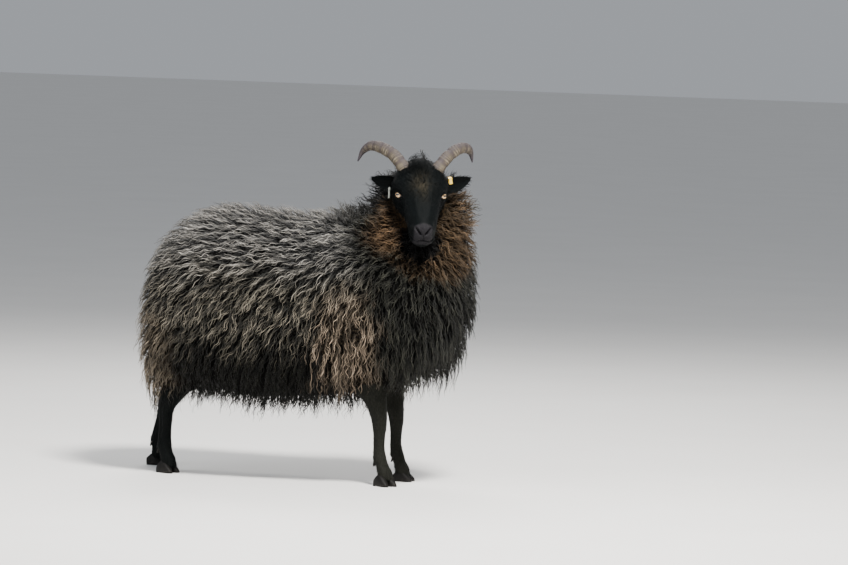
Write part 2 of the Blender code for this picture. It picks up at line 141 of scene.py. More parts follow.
class Shell:
    """Parts as one surface of triangles, which says how far a point is from it and which way is out."""

    def __init__(self, parts):
        self.parts, self.places, faces = parts, all_of(parts, "points"), all_faces(parts)
        cut = [face[:, [0, side, side + 1]] for face in faces for side in range(1, face.shape[1] - 1)]
        self.triangles = np.concatenate(cut)
        self.tree = BVHTree.FromPolygons(self.places.tolist(), self.triangles.tolist())

    def distance(self, points):
        """From each point to the nearest spot of the surface."""
        return np.array([self.tree.find_nearest(point)[3] for point in points.tolist()])

    def at(self, key, corners, share):
        """A value on triangles: each corner's by the share that it has."""
        values = all_of(self.parts, key)[corners]
        return (values * share.reshape(share.shape + (1,) * (values.ndim - 2))).sum(axis=1)

    def crossed(self, corners):
        """Two sides of each triangle crossed: square to it, and twice its area long."""
        a, b, c = (self.places[corners[:, side]] for side in range(3))
        return np.cross(b - a, c - a)

    def height_and_out(self, points):
        """The height over the nearest spot, and the normal there, blended by the areas that the spot
        cuts off opposite each corner."""
        found = [self.tree.find_nearest(point) for point in points.tolist()]
        spot = np.array([hit[0] for hit in found])
        corners = self.triangles[[hit[2] for hit in found]]
        a, b, c = (self.places[corners[:, side]] for side in range(3))
        opposite = [np.cross(c - b, spot - b), np.cross(a - c, spot - c), np.cross(b - a, spot - a)]
        out = unit(self.at("normals", corners, np.linalg.norm(np.stack(opposite, axis=1), axis=2)))
        return ((points - spot) * out).sum(axis=1), out

    def scatter(self, count):
        """Places spread evenly by area: their triangles' corners, and the share that each one has."""
        area = np.linalg.norm(self.crossed(self.triangles), axis=1)
        corners = self.triangles[chance.choice(len(area), count, p=area / area.sum())]
        first, second = np.sqrt(chance.random(count)), chance.random(count)
        return corners, np.stack([1 - first, first * (1 - second), first * second], axis=1)


envelope = Shell([closed_envelope()])
head_solid = Shell([mesh_part(frame["nodes"]["head"].data)])
leg_solids = Shell([mesh_part(frame["nodes"][name].data) for name in LEGS])


def coat_depth(points):
    """Depth of the coat under each point: the wool's, thinning to the hair's on legs and head."""
    on_head = 1 - rise(head_solid.distance(points), 0.004, 0.016)
    on_leg = 1 - rise(leg_solids.distance(points), 0.004, 0.02)
    depth = WOOL_DEPTH + (HEAD_DEPTH - WOOL_DEPTH) * on_head
    return depth + (LEG_DEPTH - depth) * on_leg


hide = envelope.places - all_of(envelope.parts, "normals") * coat_depth(envelope.places)[:, None]
skin_parts = [{"points": hide, "faces": [envelope.triangles], "woolly": np.ones(len(hide))}]

# ------------------------------
# The head: short-haired, with a flat nose bridge, ridged cheeks, slit nostrils over a cleft lip, a
# closed mouth, and two lids round each eye. Ahead runs down the face, left is hers, up is the brow.

HEAD_TURN = math.radians(-63)
HEAD_PITCH = math.radians(35)
EYE_RADIUS = 0.0135
HAIR_DEPTH = 0.0016

# Ahead, brow line, jaw line, half width and widest level in millimetres, then the roundness above
# and below that level
HEAD_STATIONS = np.array(
    [
        (-92, 26, -50, 34, -6, 2.2, 2),
        (-75, 37, -66, 46, 0, 2.2, 1.9),
        (-50, 45, -74, 54, 4, 2.3, 1.8),
        (-22, 45, -76, 60, 6, 2.4, 1.7),
        (-6, 42, -74, 56, 6, 2.5, 1.7),
        (10, 39, -71, 47.5, 4, 2.5, 1.7),
        (30, 34, -67, 40, 0, 2.4, 1.8),
        (55, 28, -62, 36, -8, 2.3, 2),
        (80, 22, -59, 32.2, -17, 2.2, 2.2),
        (98, 17, -58, 28.5, -22, 2.1, 2.3),
        (110, 11, -53, 24.5, -22, 2.1, 2.4),
        (117.5, 3.5, -44, 19, -21, 2.2, 2.2),
        (121.2, -5, -34, 12.5, -20, 2.1, 2.1),
        (122.5, -13, -26, 6.5, -20, 2, 2),
        (122.8, -20, -20, 0.5, -20, 2, 2),
    ]
) / ([1000] * 5 + [1, 1])
HEAD_SIDES = 168
# The runs of rings along the stations: where each starts and ends, and how many it has
HEAD_RUNS = ((0, 5, 58, False), (5, 9, 44, False), (9, 13.9, 84, True))

# The face's swellings and hollows in millimetres: height, the middle's place and the three reaches
FACE_MOUNDS = (
    (3.5, -4, 37, 21, 14, 9, 6),  # brow bone
    (-3, -30, 46, 20, 12, 12, 8),  # temple
    (3.5, -20, 52, -38, 22, 16, 18),  # jaw muscle
    (4.2, 12, 36, -40, 22, 14, 20),  # cheek
    (-2.6, 26, 37, -7, 8, 9, 5),  # tear pit
    (-3, 46, 34, -38, 20, 12, 11),  # under the cheek ridge
    (-1, 12, 0, 40, 16, 10, 20),  # forehead
    (-2.2, 94, 26, -4, 6, 10, 7),  # over the nostril
    (2, 109.5, 19.5, -3, 5, 5, 5),  # nostril's wing
    (1.2, 116, 0, -1, 4, 5, 5),  # tip of the nose
    (1.8, 116, 11.5, -20, 5, 8, 6),  # upper lip
    (-1, 103, 20, -48, 6, 6, 4),  # chin
)
# Where the hair is longer, in millimetres as above: on the poll, the back cheeks and the cheeks
FUR_MOUNDS = ((12, -35, 0, 45, 22, 15, 20), (6, -30, 45, -20, 20, 20, 30), (5, 12, 36, -45, 30, 20, 20))
# The face's ridges and grooves in millimetres: height, reach and route of each
FACE_SEAMS = (
    (2.2, 4.5, [(-20, 60, -14), (12, 47, -16), (40, 36, -22), (56, 32, -26)]),  # cheek ridge
    (1.6, 3.8, [(18, 21, 34), (50, 16.5, 27), (88, 13, 18)]),  # edge of the nose bridge
    (0.7, 1.3, [(20, 42, -14), (34, 36, -26), (40, 34, -40), (34, 34, -52)]),  # vein
    (1.4, 4.2, [(113.5, 16.5, -0.5), (118, 11.5, -4.5), (120.8, 6.2, -9.8)]),  # rim of the nostril
    (-9, 1.9, [(113.5, 16.5, -0.5), (118, 11.5, -4.5), (120.8, 6.2, -9.8)]),  # nostril
)


def square_to(vectors, axes):
    """Vectors less their part along axes of length 1, brought to length 1."""
    return unit(vectors - axes * (vectors * axes).sum(axis=-1, keepdims=True))


eye_middles = [np.array(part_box(f"eye_{side}")).mean(axis=0) for side in ("left", "right")]
head_middle = sum(eye_middles) / 2
head_left = unit(eye_middles[0] - eye_middles[1])
level = np.array([math.cos(HEAD_TURN), math.sin(HEAD_TURN), 0])
head_ahead = square_to(level * math.cos(HEAD_PITCH) - np.array([0, 0, math.sin(HEAD_PITCH)]), head_left)
head_axes = np.stack([head_ahead, head_left, np.cross(head_ahead, head_left)], axis=1)


def to_body(points):
    """From the head's frame to the body's."""
    return points @ head_axes.T + head_middle


def through(values, at, knots=None):
    """A smooth cubic curve through values at the knots 0, 1, 2 and on, or at those given, with each
    slope set by the neighbours."""
    values = np.asarray(values, float)
    knots = np.arange(len(values), dtype=float) if knots is None else np.asarray(knots, float)
    slopes = np.gradient(values, knots, axis=0)
    cell = np.clip(np.searchsorted(knots, at) - 1, 0, len(knots) - 2)
    width = (knots[cell + 1] - knots[cell])[:, None]
    t = (at - knots[cell])[:, None] / width
    from_start = values[cell] * (2 * t**3 - 3 * t**2 + 1) + slopes[cell] * width * (t**3 - 2 * t**2 + t)
    to_end = values[cell + 1] * (3 * t**2 - 2 * t**3) + slopes[cell + 1] * width * (t**3 - t**2)
    return from_start + to_end


def rounded_power(value, power):
    """The size of a value to a power, with its sign kept."""
    return np.sign(value) * np.abs(value) ** power


def bell(value, spread):
    """exp(-r^2 / 2), with r the value over the spread."""
    return np.exp(-0.5 * (value / spread) ** 2)


def turns(count):
    """Angles evenly round a ring."""
    return np.linspace(0, 2 * math.pi, count, endpoint=False)


def grid(*coordinates):
    """Places from coordinates that may vary along a shape, around it, or both."""
    return np.stack(np.broadcast_arrays(*coordinates), axis=-1)


def outward(points, faces):
    """The faces, turned over if the space that they enclose comes out negative."""
    volume = sum(
        (points[part[:, 0]] * np.cross(points[part[:, side]], points[part[:, side + 1]])).sum()
        for part in faces
        for side in range(1, part.shape[1] - 1)
    )
    return faces if volume > 0 else [part[:, ::-1] for part in faces]


def lofted(rings, **values):
    """A closed skin over rings of points: four-sided faces from each ring to the next, and the first
    and last rings closed by triangles to their middles. Values may vary along, around or both."""
    count, sides = rings.shape[:2]
    here = np.arange(count * sides).reshape(count, sides)
    after = np.roll(here, -1, axis=1)
    quads = np.stack([here[:-1], after[:-1], after[1:], here[1:]], axis=-1).reshape(-1, 4)
    start = np.stack([after[0], here[0], np.full(sides, count * sides)], axis=-1)
    end = np.stack([here[-1], after[-1], np.full(sides, count * sides + 1)], axis=-1)
    points = np.concatenate([rings.reshape(-1, 3), rings[:1].mean(axis=1), rings[-1:].mean(axis=1)])
    part = {"points": points, "faces": outward(points, [quads, np.concatenate([start, end])])}
    for key, value in values.items():
        value = value + 0 * rings[..., 0]
        part[key] = np.concatenate([value.ravel(), value[:1].mean(axis=1), value[-1:].mean(axis=1)])
    return part


def flow_over(rings):
    """The lie of the hair over a grid in the head's frame, carried to its two closing points."""
    return np.concatenate([rings.reshape(-1, 3), rings[0, :1], rings[-1, :1]]) @ head_axes.T


def grid_normals(rings):
    """The cross product of the two directions of the grid, turned away from each ring's middle."""
    around = np.roll(rings, -1, axis=1) - np.roll(rings, 1, axis=1)
    normals = unit(np.cross(around, np.gradient(rings, axis=0)))
    away = (normals * (rings - rings.mean(axis=1, keepdims=True))).sum()
    return normals * math.copysign(1, away)


def mound(points, middle, reach):
    """exp(-r^2 / 2), with r the distance from the middle in units of the reach along each axis."""
    return np.exp(-0.5 * (((points - middle) / reach) ** 2).sum(axis=-1))


def seam(points, route, reach):
    """exp(-d^2 / 2), with d the distance to the nearest of the route's straight pieces over reach."""
    nearest = np.full(points.shape[:-1], np.inf)
    for start, end in zip(route[:-1], route[1:]):
        share = np.clip(((points - start) @ (end - start)) / ((end - start) @ (end - start)), 0, 1)
        gap = np.linalg.norm(points - start - share[..., None] * (end - start), axis=-1)
        nearest = np.minimum(nearest, gap)
    return bell(nearest, reach)


def left_half(points):
    """Places with those of her right side mirrored onto the left."""
    return np.stack([points[..., 0], np.abs(points[..., 1]), points[..., 2]], axis=-1)


def head_rings():
    """Rings from poll to nose, closest together at the muzzle. Each is a rounded power curve."""
    steps = [np.linspace(start, end, count, endpoint=last) for start, end, count, last in HEAD_RUNS]
    path = through(HEAD_STATIONS, np.concatenate(steps))
    ahead, brow, jaw, half, middle, upper, lower = path.T[..., None]
    angle = turns(HEAD_SIDES)
    above = np.sin(angle) > 0
    power = 2 / np.where(above, upper, lower)
    up = middle + np.where(above, brow - middle, middle - jaw) * rounded_power(np.sin(angle), power)
    rings = grid(ahead, half * rounded_power(np.cos(angle), power), up)
    return rings - grid_normals(rings) * HAIR_DEPTH


def face_relief(points):
    """Height added along the normal: mounds and seams, then the cleft, the mouth with its lips, which
    is highest at the cleft and rises again to its corners, and fine wrinkles over the nose."""
    half = left_half(points)
    ahead, beside, up = np.moveaxis(half, -1, 0)
    relief = sum(row[0] * mound(half, row[1:4], row[4:]) for row in np.array(FACE_MOUNDS) / 1000)
    for height, reach, route in FACE_SEAMS:
        relief += height / 1000 * seam(half, np.array(route) / 1000, reach / 1000)
    cleft = bell(beside, 0.001) * rise(-up, 0.006, 0.012) * (1 - rise(-up, 0.028, 0.031))
    relief -= 0.0016 * cleft * rise(ahead, 0.108, 0.114)
    mouth = up + 0.0262 + 0.0045 * rise(beside, 0.001, 0.015) - 0.0045 * rise(-ahead, -0.106, -0.074)
    relief -= 0.0032 * bell(mouth, 0.0012) * rise(ahead, 0.066, 0.076)
    relief += 0.0014 * bell(mouth + 0.0075, 0.0035) * rise(ahead, 0.08, 0.1)
    wrinkle = np.sin(ahead / 0.003 + 26 * up) * mound(half, (0.086, 0.026, -0.012), (0.008, 0.01, 0.01))
    return relief + 0.0003 * wrinkle


# Each eye looks half out to the side. Its lids are drawn on the plane across that line of sight:
# x towards the nose, y up.
level_ahead = np.array([math.cos(HEAD_PITCH), 0, math.sin(HEAD_PITCH)])
SIGHT_TURN = math.radians(46)
SIGHT = unit(level_ahead * math.cos(SIGHT_TURN) + np.array([0, 1, 0]) * math.sin(SIGHT_TURN))
NASAL = square_to(level_ahead * 0.8 + np.array([0.2, 0, 0]), SIGHT)
LID_UP = np.cross(SIGHT, NASAL) * math.copysign(1, np.cross(SIGHT, NASAL)[2])
EYE_CENTRE = np.array([0, (eye_middles[0] - head_middle) @ head_left, 0]) + SIGHT * 0.0008
OPENING = (0.0094, 0.0043, 0.0047)  # half length, height above and height below
LID_REACH = (0.0245, 0.0215)
LID_THICKNESS = 0.0014
LID_GAP = 0.0009  # the least from the ball
EYE_PIT = 0.016
LID_SIDES = 84
# The lids' folds: height, above (1) or below the eye (-1), share of the way out and spread of each
LID_FOLDS = (
    (-0.0013, 1, 0.26, 0.055),
    (0.0011, 1, 0.46, 0.12),
    (-0.0009, -1, 0.24, 0.05),
    (-0.0007, -1, 0.5, 0.05),
)
# The lids' edge and lining, going in: past the opening's edge, and above the ball
LID_LINING = np.array([(0.004, -0.002), (0.0002, -0.0004), (-0.0001, 0.0002), (0.0001, 0.0009)])
FACE_CLEAR = 0.06  # far enough out to look back at the face from


def eye_edges(angle):
    """How far out the eye's opening ends, two parabolas that meet in the corners, and how far out its
    lids end, an ellipse."""
    height = np.where(np.sin(angle) > 0, OPENING[1], OPENING[2])
    rising, level_part = np.abs(np.sin(angle)), np.cos(angle)
    edge = 2 * height / (rising + np.sqrt(rising**2 + 4 * (height * level_part / OPENING[0]) ** 2))
    return edge, 1 / np.sqrt((np.cos(angle) / LID_REACH[0]) ** 2 + (np.sin(angle) / LID_REACH[1]) ** 2)


def eye_pit(points):
    """How far the face is pushed in under the lids and the eye, so that only they show there."""
    from_eye = left_half(points) - EYE_CENTRE
    x, y, height = (from_eye @ axis for axis in (NASAL, LID_UP, SIGHT))
    edge, reach = eye_edges(np.arctan2(y, x))
    return EYE_PIT * (1 - rise((np.hypot(x, y) - edge) / (reach - edge), 0.62, 0.88)) * (height > 0)


def lid_part(face):
    """A closed ring of skin round the left eye. Going out from the opening's edge it follows the ball,
    folds once above and twice below, and joins the face, which is measured along the line of sight."""
    angle = turns(LID_SIDES)
    edge, reach = eye_edges(angle)
    way_out = np.cos(angle)[:, None] * NASAL + np.sin(angle)[:, None] * LID_UP
    share = np.concatenate([np.linspace(0.045, 1, 30) ** 1.25, [1.05]])[:, None]
    radius = edge + (reach - edge) * share
    starts = EYE_CENTRE + radius[..., None] * way_out + SIGHT * FACE_CLEAR
    hits = [face.tree.ray_cast(start, -SIGHT)[3] for start in starts.reshape(-1, 3).tolist()]
    skin = FACE_CLEAR - np.array(hits, float).reshape(radius.shape)
    outer = EYE_RADIUS + LID_THICKNESS
    over_ball = np.sqrt(np.maximum(outer**2 - radius**2, (0.45 * EYE_RADIUS) ** 2))
    height = over_ball + (skin - over_ball) * rise(share, 0.02, 0.66)
    for fold, way, place, spread in LID_FOLDS:
        height += fold * np.clip(way * np.sin(angle), 0, 1) ** 0.5 * bell(share - place, spread)
    corner = bell(angle + 0.1 - 2 * math.pi * (angle > math.pi), 0.16)
    height -= 0.002 * corner * (1 - rise(share, 0.35, 0.75))
    height += 0.00025 * rise(share, 0.5, 0.8) - 0.0014 * rise(share, 0.93, 1.05)
    clear_of_ball = np.sqrt(np.maximum((EYE_RADIUS + LID_GAP) ** 2 - radius**2, 0))
    height = np.where(share < 0.9, np.maximum(height, clear_of_ball), height)
    past_edge, above_ball = LID_LINING.T[..., None]
    inner = edge + past_edge
    ball = np.sqrt(np.maximum(EYE_RADIUS**2 - inner**2, (0.3 * EYE_RADIUS) ** 2))
    radius = np.concatenate([inner, radius])
    height = np.concatenate([ball + above_ball, height])
    rings = EYE_CENTRE + radius[..., None] * way_out + height[..., None] * SIGHT
    here = np.arange(radius.size).reshape(radius.shape)
    after = np.roll(here, -1, axis=1)
    quads = np.stack([here, after, np.roll(after, -1, axis=0), np.roll(here, -1, axis=0)], axis=-1)
    rim = np.concatenate([np.ones(5), 1 - rise(share[1:, 0], 0.06, 0.16)])
    return rings.reshape(-1, 3), quads.reshape(-1, 4), np.repeat(rim, LID_SIDES)


rings = head_rings()
rings = rings + grid_normals(rings) * face_relief(rings)[..., None]
lid_points, lid_quads, lid_rim = lid_part(Shell([lofted(rings)]))
half = left_half(rings)
ahead, beside, up = np.moveaxis(half, -1, 0)
sight = SIGHT * np.where(rings[..., 1:2] < 0, (1, -1, 1), (1, 1, 1))
pad = rise(ahead, 0.106, 0.111) * (1 - rise(-up, 0.036, 0.043)) * (1 - rise(beside, 0.017, 0.0225))
pad = np.maximum(pad * rise(ahead + 0.12 * up, 0.1045, 0.108), 0)
sideways = 0.55 * np.sign(rings[..., 1]) * rise(beside, 0.004, 0.03)
back = grid(-0.9 - 0.3 * rise(ahead, 0.02, 0.1), sideways, -0.3 * rise(-up, 0, 0.03))
fur = 0.0034 + 0.0056 * rise(-ahead, -0.09, -0.03) + 0.004 * rise(-ahead, 0.0, 0.05)
fur = fur + sum(row[0] * mound(half, row[1:4], row[4:]) for row in np.array(FUR_MOUNDS) / 1000)
head = lofted(
    to_body(rings - sight * eye_pit(rings)[..., None]),
    bare=pad,
    across=np.arange(HEAD_SIDES) / HEAD_SIDES * 0.3,
    along=ahead,
    brown=0.6 * mound(half, (0.014, 0.0, 0.038), (0.02, 0.013, 0.02)),
    fur=fur * (1 - pad),
)
skin_parts.append(head | {"flow": flow_over(back)})
for side in (1, -1):
    mirrored = lid_points * (1, side, 1)
    flow = unit((mirrored - EYE_CENTRE * (1, side, 1)) * 0.6 + np.array([-0.01, 0, 0]))
    lids = {"points": to_body(mirrored), "faces": outward(mirrored, [lid_quads]), "rim": lid_rim}
    lids |= {"bare": lid_rim * 0.6, "across": mirrored[:, 1], "along": mirrored[:, 0]}
    skin_parts.append(lids | {"fur": 0.0045 * (1 - lid_rim), "flow": flow @ head_axes.T})

# ------------------------------
# The ears: thin leaves of gristle and skin, rolled into a funnel at the root and hollow to the
# front, haired outside and sparsely inside.

# Each ear in the head's frame: root, tip, and the way that its hollow faces. The right one is
# mirrored across the face.
EARS = {
    "left": ((-0.04, 0.04, -0.006), (-0.0627, 0.1108, 0.0004), (0.71, 0.25, 0.19)),
    "right": ((-0.044, 0.04, 0.0), (-0.059, 0.1022, -0.004), (0.7, 0.08, 0.04)),
}
EAR_HALF_WIDTH = 0.0204
EAR_WALL = 0.0021
EAR_FOLD = ((-0.1, 0.15), (0.55, 0.35))  # its route: ways along and across
EAR_RINGS, EAR_SIDES = 46, 56

for name, side in (("left", 1), ("right", -1)):
    # Rings of a thin flat oval whose middle line is cupped: the cup's depth is the square of the way
    # to the edge, and the whole bows forward a little half way along
    root, tip, hollow = np.array(EARS[name])
    reach = tip - root
    hollow = square_to(hollow, unit(reach))
    across = np.cross(unit(reach), hollow)
    along = (1 - np.cos(np.linspace(0, math.pi, EAR_RINGS)))[:, None] / 2 * 1.035 - 0.05
    angle = turns(EAR_SIDES)
    over, front = np.cos(angle), np.sin(angle) > 0
    clipped = np.clip(along, 0, 1)
    half = EAR_HALF_WIDTH * (0.48 + 0.52 * np.sin(math.pi * np.clip(clipped / 1.08, 0, 1)))
    half = half * np.sqrt(np.clip(1 - clipped**2.1, 0, 1))
    cup = 0.35 + 0.4 * (1 - rise(along, 0.0, 0.35))
    wall = EAR_WALL * (1 - 0.45 * over**2) * (1 + 0.8 * (1 - rise(along, 0.0, 0.3)))
    lift = cup * half * over**2 + 0.004 * np.sin(math.pi * clipped)
    lift = lift - 0.0009 - wall / 2 + wall / 2 * np.sin(angle)
    lift = lift + 0.0012 * seam(grid(along, over), np.array(EAR_FOLD), 0.07) * front
    rings = root + reach * along[..., None] + across * (half * over)[..., None] + hollow * lift[..., None]
    ear = lofted(
        to_body(rings * (1, side, 1)),
        across=over * EAR_HALF_WIDTH,
        along=along * 0.07,
        fur=0.0065 * (1 - 0.35 * front) + 0.003 * (np.abs(over) > 0.9),
    )
    flow = unit(reach) + 0.5 * (over + 0 * along)[..., None] * across
    skin_parts.append(ear | {"flow": flow_over(flow * (1, side, 1))})

# ------------------------------
# The legs: lean and short-haired below the wool, with the knee or hock, the tendons behind the
# shank, the fetlock and the cleft pastern showing through the skin.

# Forward, out and up of each ring's middle, then its half length and half width, in millimetres
FRONT_LEG = [
    (-41, 4, 270, 56, 34),
    (-36, 3, 240, 50, 30),
    (-28, 2, 207, 39.5, 25.8),
    (-13, 1, 178, 25, 19.5),
    (-5, 0, 150, 18.1, 16.8),
    (-2, 0, 127, 15, 14),
    (-2, 0, 105, 12.4, 11.4),
    (-2, 0, 80, 11.9, 11.2),
    (1, 1, 58, 14.2, 14.2),
    (6, 1, 44, 13.6, 14.7),
    (12, 1, 31, 15.6, 17.2),
    (15, 1, 19, 16.5, 17.2),
]
HIND_LEG = [
    (54, 4, 270, 66, 42),
    (44, 3, 245, 57, 38),
    (31, 2, 210, 45, 29.5),
    (18, 1, 182, 34.5, 21.8),
    (7, 0, 160, 24.8, 18),
    (-2, 0, 136, 16.6, 14.6),
    (-1, 0, 108, 13.8, 12),
    (0, 0, 82, 13.7, 11.8),
    (2, 1, 58, 15.6, 14.6),
    (7, 1, 44, 14.6, 15),
    (13, 1, 31, 16, 17.3),
    (16, 1, 19, 16.8, 17.2),
]
LEG_RINGS, LEG_SIDES = 92, 38
SLANT_HEIGHT = 0.22

# Each leg: its stations, where it stands, how far the foot leads the thigh, and its toe-out
BODY_SHIFT = -0.009
LEG_PLANS = {
    "front_leg_left": (FRONT_LEG, 0.211, 0.058, 0.0, math.radians(6)),
    "front_leg_right": (FRONT_LEG, 0.2225, -0.064, 0.0, math.radians(-24)),
    "hind_leg_left": (HIND_LEG, -0.315, 0.072, -0.064, math.radians(8)),
    "hind_leg_right": (HIND_LEG, -0.265, -0.074, -0.018, math.radians(-14)),
}


def signed(angle):
    """The angle brought between half a turn back and half a turn on."""
    return np.angle(np.exp(1j * angle))


def leg_relief(angle, height, hind):
    """Height added along the normal by the angle from the front and the height: knee or hock, grooves
    each side of the tendons, fetlock knobs, and the cleft between the toes."""

    def band(low, high):
        return rise(height, low - 0.01, low + 0.01) * (1 - rise(height, high - 0.01, high + 0.01))

    def toward(degrees, spread):
        return bell(np.abs(signed(np.abs(angle) - math.radians(degrees))), math.radians(spread))

    relief = -0.0022 * toward(118, 15) * band(0.072, 0.15)
    relief += 0.0012 * toward(180, 26) * band(0.066, 0.15)
    relief += 0.0016 * toward(150, 18) * band(0.052, 0.06)
    relief -= 0.0026 * (toward(0, 13) + toward(180, 15)) * (1 - rise(height, 0.026, 0.05))
    joint = bell(height - (0.16 if hind else 0.148), 0.012)
    relief += joint * (0.0014 * toward(62, 22) - 0.001 * toward(0, 18))
    if hind:
        relief += 0.003 * toward(180, 22) * bell(height - 0.176, 0.012)
        relief -= 0.005 * toward(125, 20) * band(0.185, 0.225)
    return relief


for name, (stations, stand_x, stand_y, lead, toe_out) in LEG_PLANS.items():
    hind = name.startswith("hind")
    path = through(np.array(stations) / 1000, np.linspace(0, len(stations) - 1, LEG_RINGS))
    ahead, out, height, long, wide = path.T[..., None]
    ahead = ahead + stand_x + lead * np.clip(1 - height / SLANT_HEIGHT, 0, 1) + BODY_SHIFT
    out = out * math.copysign(1, stand_y) + stand_y
    angle = turns(LEG_SIDES)
    from_toes = signed(angle - toe_out * (1 - rise(height, 0.03, 0.09)))
    rings = grid(ahead + long * np.cos(angle), out + wide * np.sin(angle), height)
    rings = rings + grid_normals(rings) * leg_relief(from_toes, rings[..., 2], hind)[..., None]
    # The hair line dips in front, over the slope of the claws
    rings[..., 2] -= 0.005 * (1 - rise(rings[..., 2], 0.019, 0.034)) * (0.5 + 0.5 * np.cos(from_toes))
    height = rings[..., 2]
    fur = 0.006 + 0.003 * rise(height, 0.12, 0.2) + 0.008 * rise(-height, -0.034, -0.026)
    tufted = rise(height, 0.135, 0.165) + 1 - rise(height, 0.055, 0.07)
    fur = fur + 0.006 * (np.cos(from_toes) < -0.6) * tufted
    # Painted highlight on the hair: full on the front legs, faint on the hind ones
    leg = lofted(rings, dusty=0.12 if hind else 1.0, across=angle * 0.016, along=height, fur=fur)
    skin_parts.append(leg | {"flow": np.tile((-0.1, 0.0, -1.0), (len(leg["points"]), 1))})

# ------------------------------
# The skin: hide, head, lids, ears and legs as one piece. Where no wool grows it carries flat black
# hair, brown on the brow; the nose and lips are bare, grey and pebbled; the lids' edges are moist.


def new_piece(name, parts, keys=()):
    """One smooth mesh object of some parts, with the values that its material reads by their names."""
    points, faces = all_of(parts, "points"), all_faces(parts)
    corners = np.concatenate([part.ravel() for part in faces]).astype(np.int32)
    sizes = np.concatenate([np.full(len(part), part.shape[1]) for part in faces])
    mesh = bpy.data.meshes.new(name)
    mesh.vertices.add(len(points))
    mesh.vertices.foreach_set("co", points.astype(np.float32).ravel())
    mesh.loops.add(len(corners))
    mesh.loops.foreach_set("vertex_index", corners)
    mesh.polygons.add(len(sizes))
    mesh.polygons.foreach_set("loop_start", (np.cumsum(sizes) - sizes).astype(np.int32))
    mesh.update(calc_edges=True)
    mesh.shade_smooth()
    for key in keys:
        kept = mesh.attributes.new(key, "FLOAT", "POINT")
        kept.data.foreach_set("value", all_of(parts, key).astype(np.float32))
    piece = bpy.data.objects.new(name, mesh)
    bpy.context.collection.objects.link(piece)
    return piece


def maths_node(operation):
    """An operator that adds one Math node."""
    return lambda first, second: first.maths(operation, first, second)


class Socket:
    """A node's output, on which shader maths reads as an expression. A colour is red, green, blue."""

    def __init__(self, tree, source=None):
        self.tree, self.source = tree, source

    def node(self, kind, settings, inputs, out=0):
        """A new node of a kind, its settings made first, then a value or a link for each input."""
        made = self.tree.nodes.new("ShaderNode" + kind)
        for setting, value in settings.items():
            setattr(made, setting, value)
        for key, value in inputs.items():
            if isinstance(value, Socket):
                self.tree.links.new(value.source, made.inputs[key])
            else:
                made.inputs[key].default_value = value
        return Socket(self.tree, made.outputs[out])

    def maths(self, operation, first, second):
        return self.node("Math", {"operation": operation}, {0: first, 1: second})

    __add__ = __radd__ = maths_node("ADD")
    __mul__ = __rmul__ = maths_node("MULTIPLY")
    __sub__, __truediv__, __pow__ = maths_node("SUBTRACT"), maths_node("DIVIDE"), maths_node("POWER")

    def __rsub__(self, other):
        return self.maths("SUBTRACT", other, self)

    def between(self, low, high):
        """0 at low, 1 at high, with a smooth step between."""
        limits = {"Value": self, "From Min": low, "From Max": high}
        return self.node("MapRange", {"interpolation_type": "SMOOTHSTEP"}, limits)

    def tint(self, *colours):
        """The first colour where this is 0 and the second where it is 1."""
        first, second = (each if isinstance(each, Socket) else (*each, 1) for each in colours)
        return self.node("Mix", {"data_type": "RGBA"}, {0: self, 6: first, 7: second}, 2)

    def value(self, name):
        """A number kept on the mesh."""
        return self.node("Attribute", {"attribute_name": name}, {}, 2)

    def place(self):
        """Object coordinates, which are the body's own."""
        return self.node("TexCoord", {}, {}, 3)

    def vector(self, x, y, z):
        return self.node("CombineXYZ", {}, {0: x, 1: y, 2: z})

    def noise(self, at, scale, detail=2.0, roughness=0.5):
        sizes = {"Vector": at, "Scale": scale, "Detail": detail, "Roughness": roughness}
        return self.node("TexNoise", {}, sizes)

    def bump(self, height, strength, distance):
        sizes = {"Height": height, "Strength": strength, "Distance": distance}
        return self.node("Bump", {}, sizes)


def new_material(name):
    """An empty material, and its node tree."""
    material = bpy.data.materials.new(name)
    material.use_nodes = True
    return material, Socket(material.node_tree)


def finish_with(tree, varying, constants):
    """Links what varies to the shader, and sets what doesn't on its own sockets."""
    shader = tree.tree.nodes["Principled BSDF"]
    for key, value in varying.items():
        tree.tree.links.new(value.source, shader.inputs[key])
    for key, value in constants.items():
        shader.inputs[key].default_value = value


# The coat's markings, the same on hide and wool, and with them painted light and shade: a pool of painted
# light on her right cheek's wool, painted shadow under the jaw, and painted shade on the belly. Each has a
# colour for the depths and one for the weathered ends of the locks. The flank's lie under the rest.
MARKS_AND_PAINTED_LIGHT = {
    "flank": ((0.0095, 0.0095, 0.008), (0.35, 0.31, 0.24)),
    "back": ((0.03, 0.03, 0.03), (0.53, 0.5, 0.45)),
    # Belly: black wool, darker towards the bottom as painted shade under the body
    "belly": ((0.0012, 0.0012, 0.0008), (0.01, 0.01, 0.006)),
    "rump": ((0.028, 0.022, 0.015), (0.74, 0.6, 0.43)),
    "elbow": ((0.024, 0.019, 0.013), (0.52, 0.4, 0.29)),
    "chest": ((0.0032, 0.0034, 0.0028), (0.058, 0.058, 0.045)),
    "ruff": ((0.026, 0.0175, 0.0095), (0.185, 0.118, 0.066)),
    # Cheek: a pool of painted light, a lighter, warmer brown on the wool of her right cheek
    "cheek": ((0.03, 0.018, 0.009), (0.23, 0.138, 0.072)),
    # Throat: black hair under the jaw, with painted shadow there as well
    "throat": ((0.002, 0.002, 0.002), (0.006, 0.005, 0.005)),
    "nape": ((0.0008, 0.0009, 0.0008), (0.01, 0.01, 0.008)),
}
RUFF_PLACE = (0.28, -0.035, 0.555)
CHEEK_LIGHT_PLACE = (0.2355, -0.1, 0.55)
THROAT_PLACE = tuple(to_body(np.array([0.062, 0.0, -0.078])))


